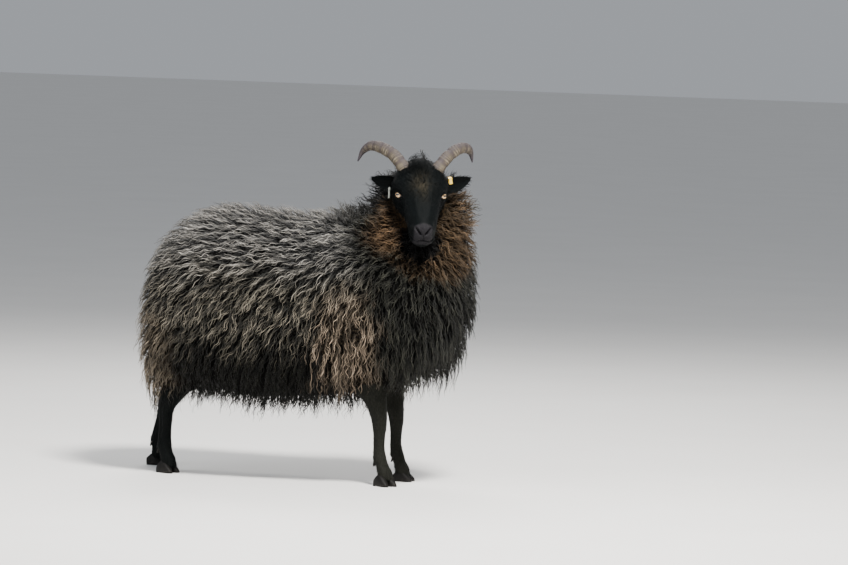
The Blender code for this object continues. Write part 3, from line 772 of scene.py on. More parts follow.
def marks_and_painted_light(tree, weathered, jitter):
    """Colours by place: flank first, then each marking, and each patch of painted light and shade, over it
    by its mask, whose edges wander.
    """
    place = tree.place()
    shift = (tree.noise(place, 14.0) - 0.5) * 0.1 + jitter * 0.045
    x, y, z = (tree.node("SeparateXYZ", {}, {"Vector": place}, axis) for axis in range(3))
    x, z = x + shift, z + shift
    fore = x - y.maths("ABSOLUTE", y, 0.0) * 0.5 + (z - 0.4) * 0.2 + z.between(0.42, 0.52) * 0.03
    ruff, cheek, throat = (
        tree.node("VectorMath", {"operation": "DISTANCE"}, {0: place, 1: middle}, 1)
        for middle in (RUFF_PLACE, CHEEK_LIGHT_PLACE, THROAT_PLACE)
    )
    masks = {
        "back": z.between(0.4, 0.515),
        # Belly: the black wool and painted shade, darker towards the bottom
        "belly": z.between(0.365, 0.245),
        "rump": x.between(-0.22, -0.3) * z.between(0.4, 0.3) * z.between(0.14, 0.2),
        "elbow": x.between(0.075, 0.145) * z.between(0.17, 0.235) * z.between(0.45, 0.35),
        "chest": fore.between(0.1, 0.175),
        "ruff": (ruff - (x - 0.28) * 0.3 + shift).between(0.135, 0.105),
        # Cheek: the pool of painted light on her right cheek's wool
        "cheek": (cheek + shift * 0.5).between(0.08, 0.03),
        # Throat: black hair and painted shadow under the jaw
        "throat": (throat + shift * 0.3).between(0.055, 0.041),
        "nape": (z - x * 0.4).between(0.505, 0.53) * x.between(0.085, 0.125),
    }
    deep, light = MARKS_AND_PAINTED_LIGHT["flank"]
    for mark, mask in masks.items():
        deep, light = mask.tint(deep, MARKS_AND_PAINTED_LIGHT[mark][0]), mask.tint(light, MARKS_AND_PAINTED_LIGHT[mark][1])
    return weathered.tint(deep, light)


# Near-black hair with a bluish cast painted in for its sheen, and the brow's brown hair
BLACK_HAIR_PAINTED_SHEEN, BROWN_HAIR = (0.0014, 0.0021, 0.0023), (0.04, 0.033, 0.02)
# Painted highlight on the legs' hair, grey with a little green: one colour for the hair and one for its
# tips
PAINTED_HIGHLIGHT_HAIR, PAINTED_HIGHLIGHT_TIPS = (0.0085, 0.0088, 0.0072), (0.024, 0.024, 0.019)
NOSE_CREASE, NOSE_GREY = (0.009, 0.008, 0.01), (0.018, 0.018, 0.019)
LID_EDGE = (0.006, 0.005, 0.005)
# Painted shade for the undercoat's hollows
UNDERCOAT_PAINTED_SHADE = (0.001, 0.001, 0.001)

# Undercoat in the wool's colours, near black as painted shade in its hollows for the gaps between the
# locks; hair drawn as long thin streaks along the lie, with a painted highlight on the legs; pebbled nose
skin_finish, tree = new_material("skin")
woolly, bare, rim, dusty = (tree.value(name) for name in ("woolly", "bare", "rim", "dusty"))
lie = tree.vector(tree.value("across") * 900.0, tree.value("along") * 150.0, woolly)
streaks = tree.noise(lie, 1.0, 3.0)
broad = tree.noise(tree.place(), 45.0)
matted = tree.noise(tree.place(), 170.0, 5.0, 0.7)
hair = (tree.value("brown") * broad.between(0.3, 0.65)).tint(BLACK_HAIR_PAINTED_SHEEN, BROWN_HAIR)
# Painted highlight on the legs' hair, lightest at the streaks' ends
tips = dusty.tint((0.005, 0.006, 0.006), PAINTED_HIGHLIGHT_TIPS)
hair = (streaks.between(0.42, 0.7) * 0.6).tint(dusty.tint(hair, PAINTED_HIGHLIGHT_HAIR), tips)
cells = {"Vector": tree.place(), "Scale": 620.0}
pebbles = tree.node("TexVoronoi", {"feature": "DISTANCE_TO_EDGE"}, cells)
colour = bare.tint(hair, pebbles.between(0.0, 0.25).tint(NOSE_CREASE, NOSE_GREY))
under = marks_and_painted_light(tree, matted.between(0.48, 0.72) * 0.06, broad - 0.5)
# Painted shade: the undercoat goes near black in the hollows of its matted bump, for the gaps between the
# locks
under = matted.between(0.75, 0.35).tint(under, UNDERCOAT_PAINTED_SHADE)
grain = streaks * (1 - bare) * 0.8 + pebbles.between(0.0, 0.3) * bare * 0.5 + matted * woolly * 4.0
finish_with(
    tree,
    {
        "Base Color": woolly.tint(rim.tint(colour, LID_EDGE), under),
        "Roughness": 0.62 - bare * 0.2 - rim * 0.25 + woolly * 0.3,
        "Normal": tree.bump(grain, 0.5, 0.0008),
    },
    {"Sheen Weight": 0.01, "Sheen Roughness": 0.35, "Specular IOR Level": 0.04},
)
skin = new_piece("skin", skin_parts, ("woolly", "bare", "rim", "across", "along", "brown", "dusty"))
skin.data.materials.append(skin_finish)
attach(skin, "root")
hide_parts(*FLESH, "ear_left", "ear_right")

# ------------------------------
# The eyes: wet balls with a pale amber iris and a level bar of a pupil, turned half outwards.

IRIS_REACH = 0.0071
PUPIL = (0.005, 0.0019, 0.0009)  # half length, half height and height above the middle
EYE_SWELL = 0.0008
EYE_RINGS, EYE_SIDES = 44, 56

# A dark white, a ring round the iris, rays in the iris, and the bar with rounded ends
eye_finish, tree = new_material("eye")
across, above = tree.value("across"), tree.value("above")
radius = (across * across + above * above) ** 0.5
share = radius / IRIS_REACH
ray = tree.vector(across / (radius + 1e-5), above / (radius + 1e-5), radius * 60.0)
rays = tree.noise(ray, 7.0, 3.0, 0.7)
iris = rays.between(0.3, 0.72).tint((0.38, 0.21, 0.08), (0.8, 0.56, 0.28))
iris = share.between(0.3, 0.62).tint((0.5, 0.31, 0.13), iris)
iris = share.between(0.82, 0.97).tint(iris, (0.1, 0.055, 0.03))
side = across.maths("ABSOLUTE", across, 0.0) - (PUPIL[0] - PUPIL[1])
side = side.maths("MAXIMUM", side, 0.0)
lift = above - PUPIL[2]
bar = (side * side + lift * lift) ** 0.5
iris = bar.between(PUPIL[1] + 0.0004, PUPIL[1] - 0.0002).tint(iris, (0.004, 0.004, 0.006))
white = tree.noise(tree.place(), 260.0).tint((0.03, 0.02, 0.016), (0.085, 0.06, 0.05))
colour = share.between(0.96, 1.05).tint(iris, white)
finish_with(tree, {"Base Color": colour}, {"Roughness": 0.12, "Coat Weight": 1.0, "Coat Roughness": 0.03})

for name, side in (("eye_left", 1), ("eye_right", -1)):
    # A ball whose radius swells by a bell curve over the iris, for the clear front of the eye
    polar = np.linspace(0.02, math.pi - 0.02, EYE_RINGS)[:, None]
    angle = turns(EYE_SIDES)
    radius = EYE_RADIUS + EYE_SWELL * bell(polar, 0.42)
    sight = unit(SIGHT * (1, side, 1) @ head_axes.T)
    level_line = unit(np.cross((0, 0, 1), sight))
    ball = grid(np.sin(polar) * np.cos(angle), np.sin(polar) * np.sin(angle), np.cos(polar))
    ball = ball * radius[..., None]
    across, above, depth = np.moveaxis(ball, -1, 0)
    rings = ball @ np.stack([level_line, np.cross(sight, level_line), sight])
    rings = rings + to_body(EYE_CENTRE * (1, side, 1))
    part = lofted(rings, across=across, above=above + 0.05 * (depth < 0))
    eye = new_piece(name + "_ball", [part], ("across", "above"))
    eye.data.materials.append(eye_finish)
    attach(eye, "root")
    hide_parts(name)

# ------------------------------
# The horns: sheaths of grey-brown horn in close rings, a deep groove for each year, swept back, out
# and down. Both edges are darkened as painted shade, the tip is dark, and the rings are rubbed pale.

# Ahead, out, up and half thickness in the head's frame, in millimetres
HORN_STATIONS = {
    "horn_left": [
        (-40, 27, 18, 14.7),
        (-53, 36, 30, 14.3),
        (-79, 58, 45, 13.4),
        (-99, 81, 51, 12.7),
        (-113, 100, 43, 10.6),
        (-119, 111, 26, 6.2),
        (-112, 116, 7, 1.6),
    ],
    "horn_right": [
        (-40, 27, 18, 14.7),
        (-53, 35, 30, 14.3),
        (-79, 56, 44, 13.4),
        (-101, 80, 46, 12.8),
        (-118, 102, 38, 10.2),
        (-123, 118, 19, 6.2),
        (-115, 128, -2, 1.6),
    ],
}
HORN_FLATNESS = 0.95
HORN_RINGS, HORN_SIDES = 190, 52
GROWTH_RING = 0.004  # metres from one to the next
YEARLY_GROOVES = np.array([0.12, 0.24, 0.37, 0.49, 0.6, 0.71])

# Bands across by the way along, fine fibres lengthwise, painted shade on both edges, a darker tip, pale
# rubbed rings
horn_finish, tree = new_material("horn")
along, turn, ring = tree.value("along"), tree.value("turn"), tree.value("ring")
bands = tree.noise(tree.vector(along * 16.0, turn * 0.4, 0.0), 1.6, 3.0, 0.6)
fibres = tree.noise(tree.vector(along * 9.0, turn * 38.0, 0.0), 1.0, 3.0)
colour = bands.between(0.3, 0.7).tint((0.046, 0.039, 0.03), (0.116, 0.096, 0.068))
colour = (fibres.between(0.5, 0.8) * 0.55).tint(colour, (0.32, 0.27, 0.2))
colour = (ring.between(0.35, 0.0) * 0.75).tint(colour, (0.05, 0.04, 0.04))
colour = (ring.between(0.75, 1.0) * 0.4).tint(colour, (0.38, 0.325, 0.24))
# Painted shade: both sides of the horn darken, more towards the tip, where it turns from the light
edge = tree.value("edge").between(0.45, 0.95) * (0.55 + along * 0.45)
colour = edge.tint(colour, (0.04, 0.034, 0.037))
colour = along.between(0.62, 0.97).tint(colour, (0.04, 0.034, 0.04))
worked = tree.bump(ring * 0.6 + fibres * 0.5, 0.55, 0.001)
varying = {"Base Color": colour, "Roughness": 0.45 + fibres * 0.3, "Normal": worked}
finish_with(tree, varying, {"Specular IOR Level": 0.12})

for name, side in (("horn_left", 1), ("horn_right", -1)):
    # An oval carried along the curve. Its size follows the growth rings, which crowd and wander a
    # little, and dips at each yearly groove.
    stations = np.array(HORN_STATIONS[name]) / 1000
    share = np.linspace(0, 1, HORN_RINGS)[:, None]
    path = through(stations, share[:, 0] * (len(stations) - 1))
    middles = path[:, :3] * (1, side, 1)
    heading = unit(np.gradient(middles, axis=0))
    outer = unit(np.cross(heading, (0.9 * side, 0.35, 0.0)))
    run = np.concatenate([[0], np.cumsum(np.linalg.norm(np.diff(middles, axis=0), axis=1))])[:, None]
    angle = turns(HORN_SIDES)
    phase = run / GROWTH_RING + 0.5 * np.sin(run * 210) + 0.25 * np.sin(angle * 2 + 1)
    ring = 0.5 + 0.5 * np.cos(2 * math.pi * phase)
    yearly = bell(share - YEARLY_GROOVES, 0.01).sum(axis=1, keepdims=True)
    fade = 1 - rise(share, 0.7, 0.95)
    size = path[:, 3:] - 0.0004 + (0.0005 * ring - 0.0009 * yearly) * fade
    size = size * (1 + 0.05 * np.cos(2 * angle) - 0.03 * np.cos(3 * angle))
    rings = middles[:, None] + (size * np.cos(angle))[..., None] * outer[:, None]
    rings = rings + (size * HORN_FLATNESS * np.sin(angle))[..., None] * np.cross(heading, outer)[:, None]
    sheath = lofted(
        to_body(rings),
        along=share,
        turn=np.abs(angle - math.pi),
        ring=np.clip(ring - 1.2 * yearly, 0, 1) * fade + 0.5 * (1 - fade),
        edge=np.abs(np.cos(angle)),
    )
    horn = new_piece(name + "_sheath", [sheath], ("along", "turn", "ring", "edge"))
    horn.data.materials.append(horn_finish)
    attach(horn, "root")
    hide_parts(name)

# ------------------------------
# The hooves: two claws of dark horn to a foot, worn flat below and scuffed at the rim, and the two
# small dewclaws behind the fetlock.

CLAW_LENGTH = 0.04
CLAW_HALF_WIDTH = 0.009
CLAW_HEIGHTS = ((0.016,), (0.025,), (0.0215,), (0.006,))
CLAW_SHARES = (0, 0.35, 0.62, 1)  # of the way from heel to toe, where those heights are
CLAW_AHEAD, CLAW_SPACING = 0.013, 0.02
CLAW_SPLAY = math.radians(7)
CLAW_RINGS, CLAW_SIDES = 42, 44
DEWCLAW_SIZE = 0.0058
DEWCLAW_RINGS, DEWCLAW_SIDES = 14, 18


def spun(rings, angle):
    """Turned about the upright axis."""
    return rings @ np.array(Matrix.Rotation(angle, 3, "Z"))


def claw(side):
    """Arches one behind another from heel to toe, on a flat sole with a rounded edge. The wall has
    growth lines that run round it level with the hair line."""
    along = np.linspace(0, 1, CLAW_RINGS)[:, None]
    half = CLAW_HALF_WIDTH * np.sqrt(np.clip(1 - (np.abs(along - 0.42) / 0.6) ** 3.2, 0.02, 1))
    height = through(CLAW_HEIGHTS, along[:, 0], CLAW_SHARES)
    angle = turns(CLAW_SIDES)
    above = np.sin(angle) > 0
    across = half * rounded_power(np.cos(angle), np.where(above, 0.75, 0.3))
    up = np.where(above, height * np.abs(np.sin(angle)) ** 0.75, 0.0)
    growth = 0.00022 * np.sin(up / 0.0022 + 3 * along) * rise(up, 0.002, 0.006)
    ahead = (along - 0.36) * CLAW_LENGTH + growth * along - 0.12 * up
    rings = spun(grid(ahead, across + growth * np.cos(angle), up), -side * CLAW_SPLAY)
    return rings + (CLAW_AHEAD, side * CLAW_SPACING / 2, 0), up


def dewclaw(side):
    """A blunt cone that points down and back from behind the fetlock."""
    along = np.linspace(0, 1, DEWCLAW_RINGS)[:, None]
    angle = turns(DEWCLAW_SIDES)
    size = DEWCLAW_SIZE * np.sqrt(1 - along**2.4)
    middle = np.array([-0.003, side * 0.0078, 0.054]) + along[..., None] * np.array([-0.0062, 0, -0.0135])
    offset = grid(0.75 * size * np.cos(angle), size * np.sin(angle), 0.45 * size * np.cos(angle))
    return middle + offset, 0.004


# Near-black horn with fine level lines, scuffed pale grey near the ground
hoof_finish, tree = new_material("hoof")
height = tree.value("above")
lines = tree.noise(tree.vector(0.0, 0.0, height * 900.0), 1.0, 3.0)
scuff = tree.noise(tree.place(), 240.0, 4.0, 0.65)
colour = lines.between(0.35, 0.75).tint((0.0025, 0.0022, 0.002), (0.009, 0.008, 0.007))
worn = scuff.between(0.48, 0.7) * height.between(0.012, 0.001)
colour = worn.tint(colour, (0.04, 0.035, 0.03))
worked = tree.bump(lines * 0.5 + scuff * 0.5, 0.5, 0.0005)
varying = {"Base Color": colour, "Roughness": 0.42 + scuff * 0.35, "Normal": worked}
finish_with(tree, varying, {"Specular IOR Level": 0.15})

for name, (_, stand_x, stand_y, lead, toe_out) in LEG_PLANS.items():
    claws = []
    for side in (1, -1):
        for shape in (claw, dewclaw):
            rings, above = shape(side)
            lean = lead * (1 - rings[..., 2].mean() / SLANT_HEIGHT) if shape is dewclaw else lead
            rings = spun(rings, -toe_out) + (stand_x + lean + BODY_SHIFT, stand_y, 0)
            claws.append(lofted(rings, above=above))
    foot = name.replace("leg", "claw")
    hoof = new_piece(foot + "_pair", claws, ("above",))
    hoof.data.materials.append(hoof_finish)
    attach(hoof, "root")
    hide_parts(foot + "_left", foot + "_right")

# ------------------------------
# The ear tags: strips of moulded plastic folded over an ear's edge, one yellow and one pale, the pale one
# greyed down as painted shade from the ear over it. The packed strips keep their shape, and only take the
# plastic's finish.

# The pale tag's grey is darkened as painted shade from the ear over it
for node, plastic in (("ear_tag_left", (0.9, 0.6, 0.085)), ("ear_tag_right", (0.3, 0.32, 0.29))):
    material, tree = new_material(node + "_plastic")
    grime = tree.noise(tree.place(), 420.0, 4.0, 0.6)
    colour = (grime.between(0.52, 0.78) * 0.6).tint(plastic, (0.16, 0.12, 0.07))
    worked = tree.bump(grime, 0.15, 0.0004)
    varying = {"Base Color": colour, "Roughness": 0.3 + grime * 0.25, "Normal": worked}
    finish_with(tree, varying, {"Specular IOR Level": 0.4})
    for slot in frame["nodes"][node].material_slots:
        slot.material = material

# ------------------------------
# The short hair: small flat tufts over the black hair of face, ears and legs, where it breaks the
# outline: longest on the poll, cheeks and ear rims, shortest on the muzzle and feet.

PATCH = 0.003  # of the OFBake map, for one lock
HAIR_TUFTS = {"hair_head": 11000, "hair_legs": 4200}
HAIR_POINTS = 4
HAIR_THICKNESS = 0.45  # share of the width
HAIR_ROOT = 0.0004  # below the skin
SHORTEST_HAIR = 0.0015
LOWEST_HAIR = 0.001  # over the floor
UNDER_WOOL = -0.02  # below the envelope, where no short hair shows


def chart(roots, out, across, up):
    """The skin under one piece of coat laid flat: places along two directions, drawn apart by the way
    that they face, so that steep parts at the edges get their room, and fitted to the unit square."""
    flat = np.stack([(roots + 0.1 * out) @ axis for axis in (across, up)], axis=1)
    low, high = flat.min(axis=0), flat.max(axis=0)
    return 0.01 + 0.98 * (flat - low) / (high - low)


def lock_piece(name, paths, widths, up, thickness, root_uv, values):
    """Three-sided tapering locks as one mesh: rings round every path but for its last point, which
    closes the tip. Each lock's faces fill one small patch of the OFBake map at its root's place."""
    count, points = paths.shape[:2]
    heading = unit(np.gradient(paths, axis=1))
    up = square_to(up[:, None], heading)
    half, corner = widths[:, :-1, None] / 2, np.radians([90, 210, 330])
    ring = paths[:, :-1, None] + np.cross(heading, up)[:, :-1, None] * (half * np.cos(corner))[..., None]
    ring = ring - up[:, :-1, None] * (half * np.sin(corner) * thickness)[..., None]
    rings = points - 1
    each = rings * 3 + 1
    places = np.concatenate([ring.reshape(count, -1, 3), paths[:, -1:]], axis=1)
    step, turn = (part.ravel() for part in np.meshgrid(np.arange(rings - 1), np.arange(3), indexing="ij"))
    here, there, after = step * 3, step * 3 + 3, (turn + 1) % 3
    quads = np.stack([here + turn, here + after, there + after, there + turn], axis=1)
    last = (rings - 1) * 3
    ends = np.array([[last + j, last + (j + 1) % 3, each - 1] for j in range(3)] + [[0, 2, 1]])
    offset = (np.arange(count) * each)[:, None, None]
    faces = [(quads + offset).reshape(-1, 4), (ends + offset).reshape(-1, 3)]
    along = np.concatenate([np.repeat(np.arange(rings) / rings, 3), [1.0]])
    part = {"points": places.reshape(-1, 3), "faces": faces, "along": np.tile(along, count)}
    part |= {key: np.repeat(value, each) for key, value in values.items()}
    piece = new_piece(name, [part], ("along", *values))
    low, high = step / rings, (step + 1) / rings
    quad_uv = np.stack([turn / 3, low, (turn + 1) / 3, low, (turn + 1) / 3, high, turn / 3, high], axis=1)
    top = 1 - 1 / rings
    end_uv = [[j / 3, top, (j + 1) / 3, top, j / 3 + 1 / 6, 1] for j in range(3)]
    end_uv = np.array(end_uv + [[0, 0, 1 / 3, 0, 2 / 3, 0]])
    patches = ((part.reshape(-1, 2) - 0.5) * PATCH for part in (quad_uv, end_uv))
    filled = np.concatenate([(patch + root_uv[:, None]).reshape(-1, 2) for patch in patches])
    piece.data.uv_layers.new(name="OFBake").data.foreach_set("uv", filled.astype(np.float32).ravel())
    return piece


def hair_tufts(name, parts, across, up):
    """Tufts that rise a little from their roots and lie back down: height is t (1 - 0.55 t) of a share
    of the length, and each turns a little to one side."""
    count, shell = HAIR_TUFTS[name], Shell(parts)
    spots = shell.scatter(count * 2)
    length = shell.at("fur", *spots)
    deep = envelope.height_and_out(shell.at("points", *spots))[0] > UNDER_WOOL
    kept = np.flatnonzero((length > SHORTEST_HAIR) & deep)[:count]
    length, spots = length[kept], [part[kept] for part in spots]
    roots, lie, brown, dusty = (shell.at(key, *spots) for key in ("points", "flow", "brown", "dusty"))
    out, total = unit(shell.crossed(spots[0])), len(kept)
    lie = square_to(lie, out)
    lie = unit(lie + np.cross(out, lie) * chance.normal(0, 0.22, total)[:, None])
    length = length * chance.uniform(0.7, 1.35, total)
    t = np.linspace(0, 1, HAIR_POINTS)[None, :, None]
    lift = (0.18 + 0.42 * chance.random(total) ** 3)[:, None, None]
    bend = np.cross(out, lie)[:, None] * chance.normal(0, 0.12, total)[:, None, None] * t**2
    rising = out[:, None] * lift * t * (1 - 0.55 * t)
    paths = (roots - out * HAIR_ROOT)[:, None] + length[:, None, None] * (lie[:, None] * t + rising + bend)
    paths[..., 2] = np.maximum(paths[..., 2], LOWEST_HAIR)
    widths = (0.0007 + 0.035 * length)[:, None] * (1 - 0.9 * t[..., 0] ** 1.4)
    values = {"shade": chance.random(total), "brown": brown, "dusty": dusty}
    uv = chart(roots, out, across, up)
    piece = lock_piece(name, paths, widths, out, HAIR_THICKNESS, uv, values)
    piece.data.materials.append(hair_finish)
    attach(piece, "root")


# Black with a cool sheen, partly the shader's and partly painted in as a bluish cast, brown on the brow, a
# little lighter at some tufts' ends, and a painted highlight on the legs' hair
hair_finish, tree = new_material("short_hair")
along, shade, dusty = (tree.value(name) for name in ("along", "shade", "dusty"))
colour = (tree.value("brown") * shade.between(0.2, 0.6)).tint(BLACK_HAIR_PAINTED_SHEEN, BROWN_HAIR)
# Painted highlight on the legs' tufts, lightest at their ends
tips = dusty.tint((0.007, 0.009, 0.01), PAINTED_HIGHLIGHT_TIPS)
colour = (along * shade.between(0.35, 0.9) * 0.8).tint(dusty.tint(colour, PAINTED_HIGHLIGHT_HAIR), tips)
constants = {"Sheen Weight": 0.01, "Sheen Roughness": 0.35, "Specular IOR Level": 0.05}
finish_with(tree, {"Base Color": colour, "Roughness": 0.62 - shade * 0.18}, constants)

X, Y, Z = np.eye(3)
FIRST_LEG = len(skin_parts) - len(LEG_PLANS)
hair_tufts("hair_head", skin_parts[1:FIRST_LEG], head_axes[:, 1], head_axes[:, 0])
hair_tufts("hair_legs", skin_parts[FIRST_LEG:], X, Z)

# ------------------------------
# The forelock: fine stray hairs that arch over the poll from one horn towards the other.

FORELOCK_HAIRS = 56
FORELOCK_POINTS = 12
FORELOCK_START = (-0.045, -0.02, 0.046)
FORELOCK_END = (-0.046, 0.026, 0.044)
FORELOCK_RISE = 0.027
FORELOCK_WIDTH, FORELOCK_THICKNESS = 0.0011, 0.7

start = FORELOCK_START + chance.normal(0, 1, (FORELOCK_HAIRS, 3)) * (0.012, 0.004, 0.001)
end = FORELOCK_END + chance.normal(0, 1, (FORELOCK_HAIRS, 3)) * (0.013, 0.003, 0.003)
# A share of the whole arch each, from the start to the end by t, lifted by a half wave
steps = np.linspace(0, 1, FORELOCK_POINTS)
t = steps * chance.uniform(0.35, 1.0, (FORELOCK_HAIRS, 1))
tall = 0.25 + 0.75 * chance.random((FORELOCK_HAIRS, 1)) ** 2.5
lifted = FORELOCK_RISE * tall * np.sin(math.pi * t) ** 0.8
paths = start[:, None] + (end - start)[:, None] * t[..., None] + lifted[..., None] * (Z - 0.25 * X)
paths[..., 0] += 0.0018 * np.sin(15 * t + chance.uniform(0, 2 * math.pi, (FORELOCK_HAIRS, 1)))
paths = to_body(paths)
widths = np.broadcast_to(FORELOCK_WIDTH * (1 - 0.7 * steps), t.shape)
out = np.broadcast_to(head_axes[:, 2], (FORELOCK_HAIRS, 3))
uv = chart(paths[:, 0], out, head_axes[:, 1], head_axes[:, 0])
values = {"shade": chance.random(FORELOCK_HAIRS) * 0.6, "brown": np.zeros(FORELOCK_HAIRS)}
forelock = lock_piece("hair_forelock", paths, widths, out, FORELOCK_THICKNESS, uv, values)
forelock.data.materials.append(hair_finish)
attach(forelock, "root")

# ------------------------------
# The wool: staples of long, wavy, hairy fibre, each a family of tapering locks that share a guide.
# They leave the hide, turn over to lie along it, and open at the hems into hanging curls.

FACE_PLACE = (0.262, -0.045, 0.59)
STAPLE_TRIES = 66000
STAPLE_SPACING = 0.0125
LOCKS = 19650
GUIDE_POINTS = 14
LOCK_POINTS = 12
LOCK_LENGTH = 0.057
LOCK_WIDTH = 0.0027
LOCK_THICKNESS = 0.6  # share of the width
WAVE_LENGTH = 0.0185
WAVE_HEIGHT = 0.0018
POINTS_A_WAVE = 4.4  # at the least, so that no wave is drawn as a zigzag
LOCK_DRIFT = 0.004  # to one side at the tip, as a usual error
SHORT_HAIRED_BELOW = 0.125  # on the legs
GATHER = 0.5  # how far the locks of a staple draw together at the tips
FACE_START = -0.046  # ahead of which no lock crosses the head
FACE_MARGIN = 0.004


def near_face(places, close, far):
    """1 within the close distance of the face's middle, falling to 0 at the far one."""
    return 1 - rise(np.linalg.norm(places - np.array(FACE_PLACE), axis=1), close, far)


def grown_places(count):
    """Places on the envelope, and the outward directions there, where neither the head nor the
    short-haired part of a leg shows: fewer away from the face and under the belly."""
    spots = envelope.scatter(count)
    places, normals = envelope.at("points", *spots), unit(envelope.at("normals", *spots))
    behind = rise(-((places - head_middle) @ head_ahead), 0.05, 0.064)
    woolly = np.maximum(rise(head_solid.distance(places), 0.003, 0.008), behind)
    woolly = woolly * rise(leg_solids.distance(places), 0.003, 0.01) * (places[:, 2] > SHORT_HAIRED_BELOW)
    dense = (0.6 + 0.4 * near_face(places, 0.13, 0.21)) * (1 - 0.35 * rise(-normals[:, 2], 0.5, 0.9))
    kept = chance.random(count) < woolly * dense
    return places[kept], normals[kept]


def lie(places, out):
    """The way the coat lies: back and down the flank, straight down the shoulder, outwards from the
    back line, and round the face outwards, downwards and back, always along the surface."""
    x, y, z = places.T
    fall = np.radians(16 + 52 * rise(-z, -0.56, -0.35) + 22 * rise(x, -0.02, 0.18))
    flow = grid(-np.cos(fall), 0.45 * np.tanh(y / 0.05) * rise(out[:, 2], 0.35, 0.9), -np.sin(fall))
    local = (places - head_middle) @ head_axes
    beside = unit(local * (0, 1, 1)) @ head_axes.T
    ruff = 0.55 * beside + np.array([-0.3, 0.1, -0.85])
    ruff = ruff - head_ahead * (0.3 + 0.9 * rise(-local[:, :1], 0.02, 0.055))
    near = near_face(places, 0.12, 0.24)[:, None]
    return square_to(flow * (1 - near) + ruff * near, out)


def grow(roots, out, depth, length, tip, hang, wander):
    """Guides that rise as 1 - (1 - t)^1.7 from the hide to their tips' height over the envelope, swing
    from side to side about the lie, and near their ends turn straight down by the share hang."""
    path = [roots]
    heights = -depth
    step = length / (GUIDE_POINTS - 1)
    phase = chance.uniform(0, 2 * math.pi, len(roots))
    swing = chance.uniform(0.1, 0.45, len(roots))
    for t in np.linspace(0, 1, GUIDE_POINTS)[1:]:
        aim = -depth + (depth + tip) * (1 - (1 - t) ** 1.7)
        climb = np.clip((aim - heights) / step, -0.85, 0.92)[:, None]
        angle = (wander + swing * np.sin(phase + 5.5 * t))[:, None]
        along = lie(path[-1], out)
        along = along * np.cos(angle) + np.cross(out, along) * np.sin(angle)
        pull = (hang * t**0.7)[:, None]
        move = unit((along * np.sqrt(1 - climb**2) + out * climb) * (1 - pull) - Z * pull)
        path.append(path[-1] + move * step[:, None])
        heights, out = envelope.height_and_out(path[-1])
    return np.stack(path, axis=1)


# The staples: where each grows, how long it is, how high its tip lies, and how far it hangs. Tassels
# are the staples that run together into hanging curls along the hems.
staple_places, staple_out = grown_places(STAPLE_TRIES)
cells = np.floor(staple_places / STAPLE_SPACING).astype(int)
one_each = np.sort(np.unique(cells, axis=0, return_index=True)[1])
staple_places, staple_out = staple_places[one_each], staple_out[one_each]
staples = len(staple_places)
x, y, z = staple_places.T
down = -staple_out[:, 2]
under = rise(down, 0.25, 0.8)
hem = rise(down, 0.05, 0.4) * np.maximum(rise(-x, 0.27, 0.33), rise(x, 0.24, 0.3))
depth = coat_depth(staple_places) + ROOT_DEPTH
length = LOCK_LENGTH * chance.uniform(0.82, 1.2, staples) * (1 - 0.3 * under) * (1 + 0.25 * hem)
crowd = np.sin(staple_places @ (150, 70, 40) + 2 * np.sin(staple_places @ (40, 110, 60)))
tassel = 0.95 * rise(crowd, 0.3, 0.95) + 0.4 * chance.random(staples) ** 3
tassel = tassel * (1 - np.exp(-(((x - 0.215) / 0.028) ** 2))) + 0.9 * np.exp(-(((x - 0.158) / 0.014) ** 2))
tassel = tassel * rise(down, 0.05, 0.5)
nape = rise(z, 0.545, 0.585) * rise(x, 0.06, 0.12)
stray = nape * (chance.random(staples) > 0.75)
face_near = near_face(staple_places, 0.11, 0.19)
rear = hem * (x < 0)
length = length * (1 + 0.55 * tassel + 0.35 * rear + 0.25 * stray - 0.22 * face_near)
tip = chance.normal(0.001, 0.0035, staples) * (1 + 1.5 * nape) + 0.003 * under + 0.01 * hem + 0.018 * tassel
tip = tip + 0.007 * rear + 0.013 * stray
hang = np.clip(0.75 * under + 0.9 * hem + tassel, 0, 0.95)
staple_roots = staple_places - staple_out * depth[:, None]
guides = grow(staple_roots, staple_out, depth, length, tip, hang, chance.normal(0, 0.18, staples))
staple_phase = chance.uniform(0, 2 * math.pi, staples)
staple_shade = chance.random(staples)

# The locks: each belongs to the nearest staple
nearest_staple = KDTree(staples)
for number, place in enumerate(staple_places.tolist()):
    nearest_staple.insert(place, number)
nearest_staple.balance()
lock_places, lock_out = (part[:LOCKS] for part in grown_places(LOCKS * 2))
owner = np.array([nearest_staple.find(place)[1] for place in lock_places.tolist()])
lock_roots = lock_places - lock_out * (coat_depth(lock_places) + ROOT_DEPTH)[:, None]


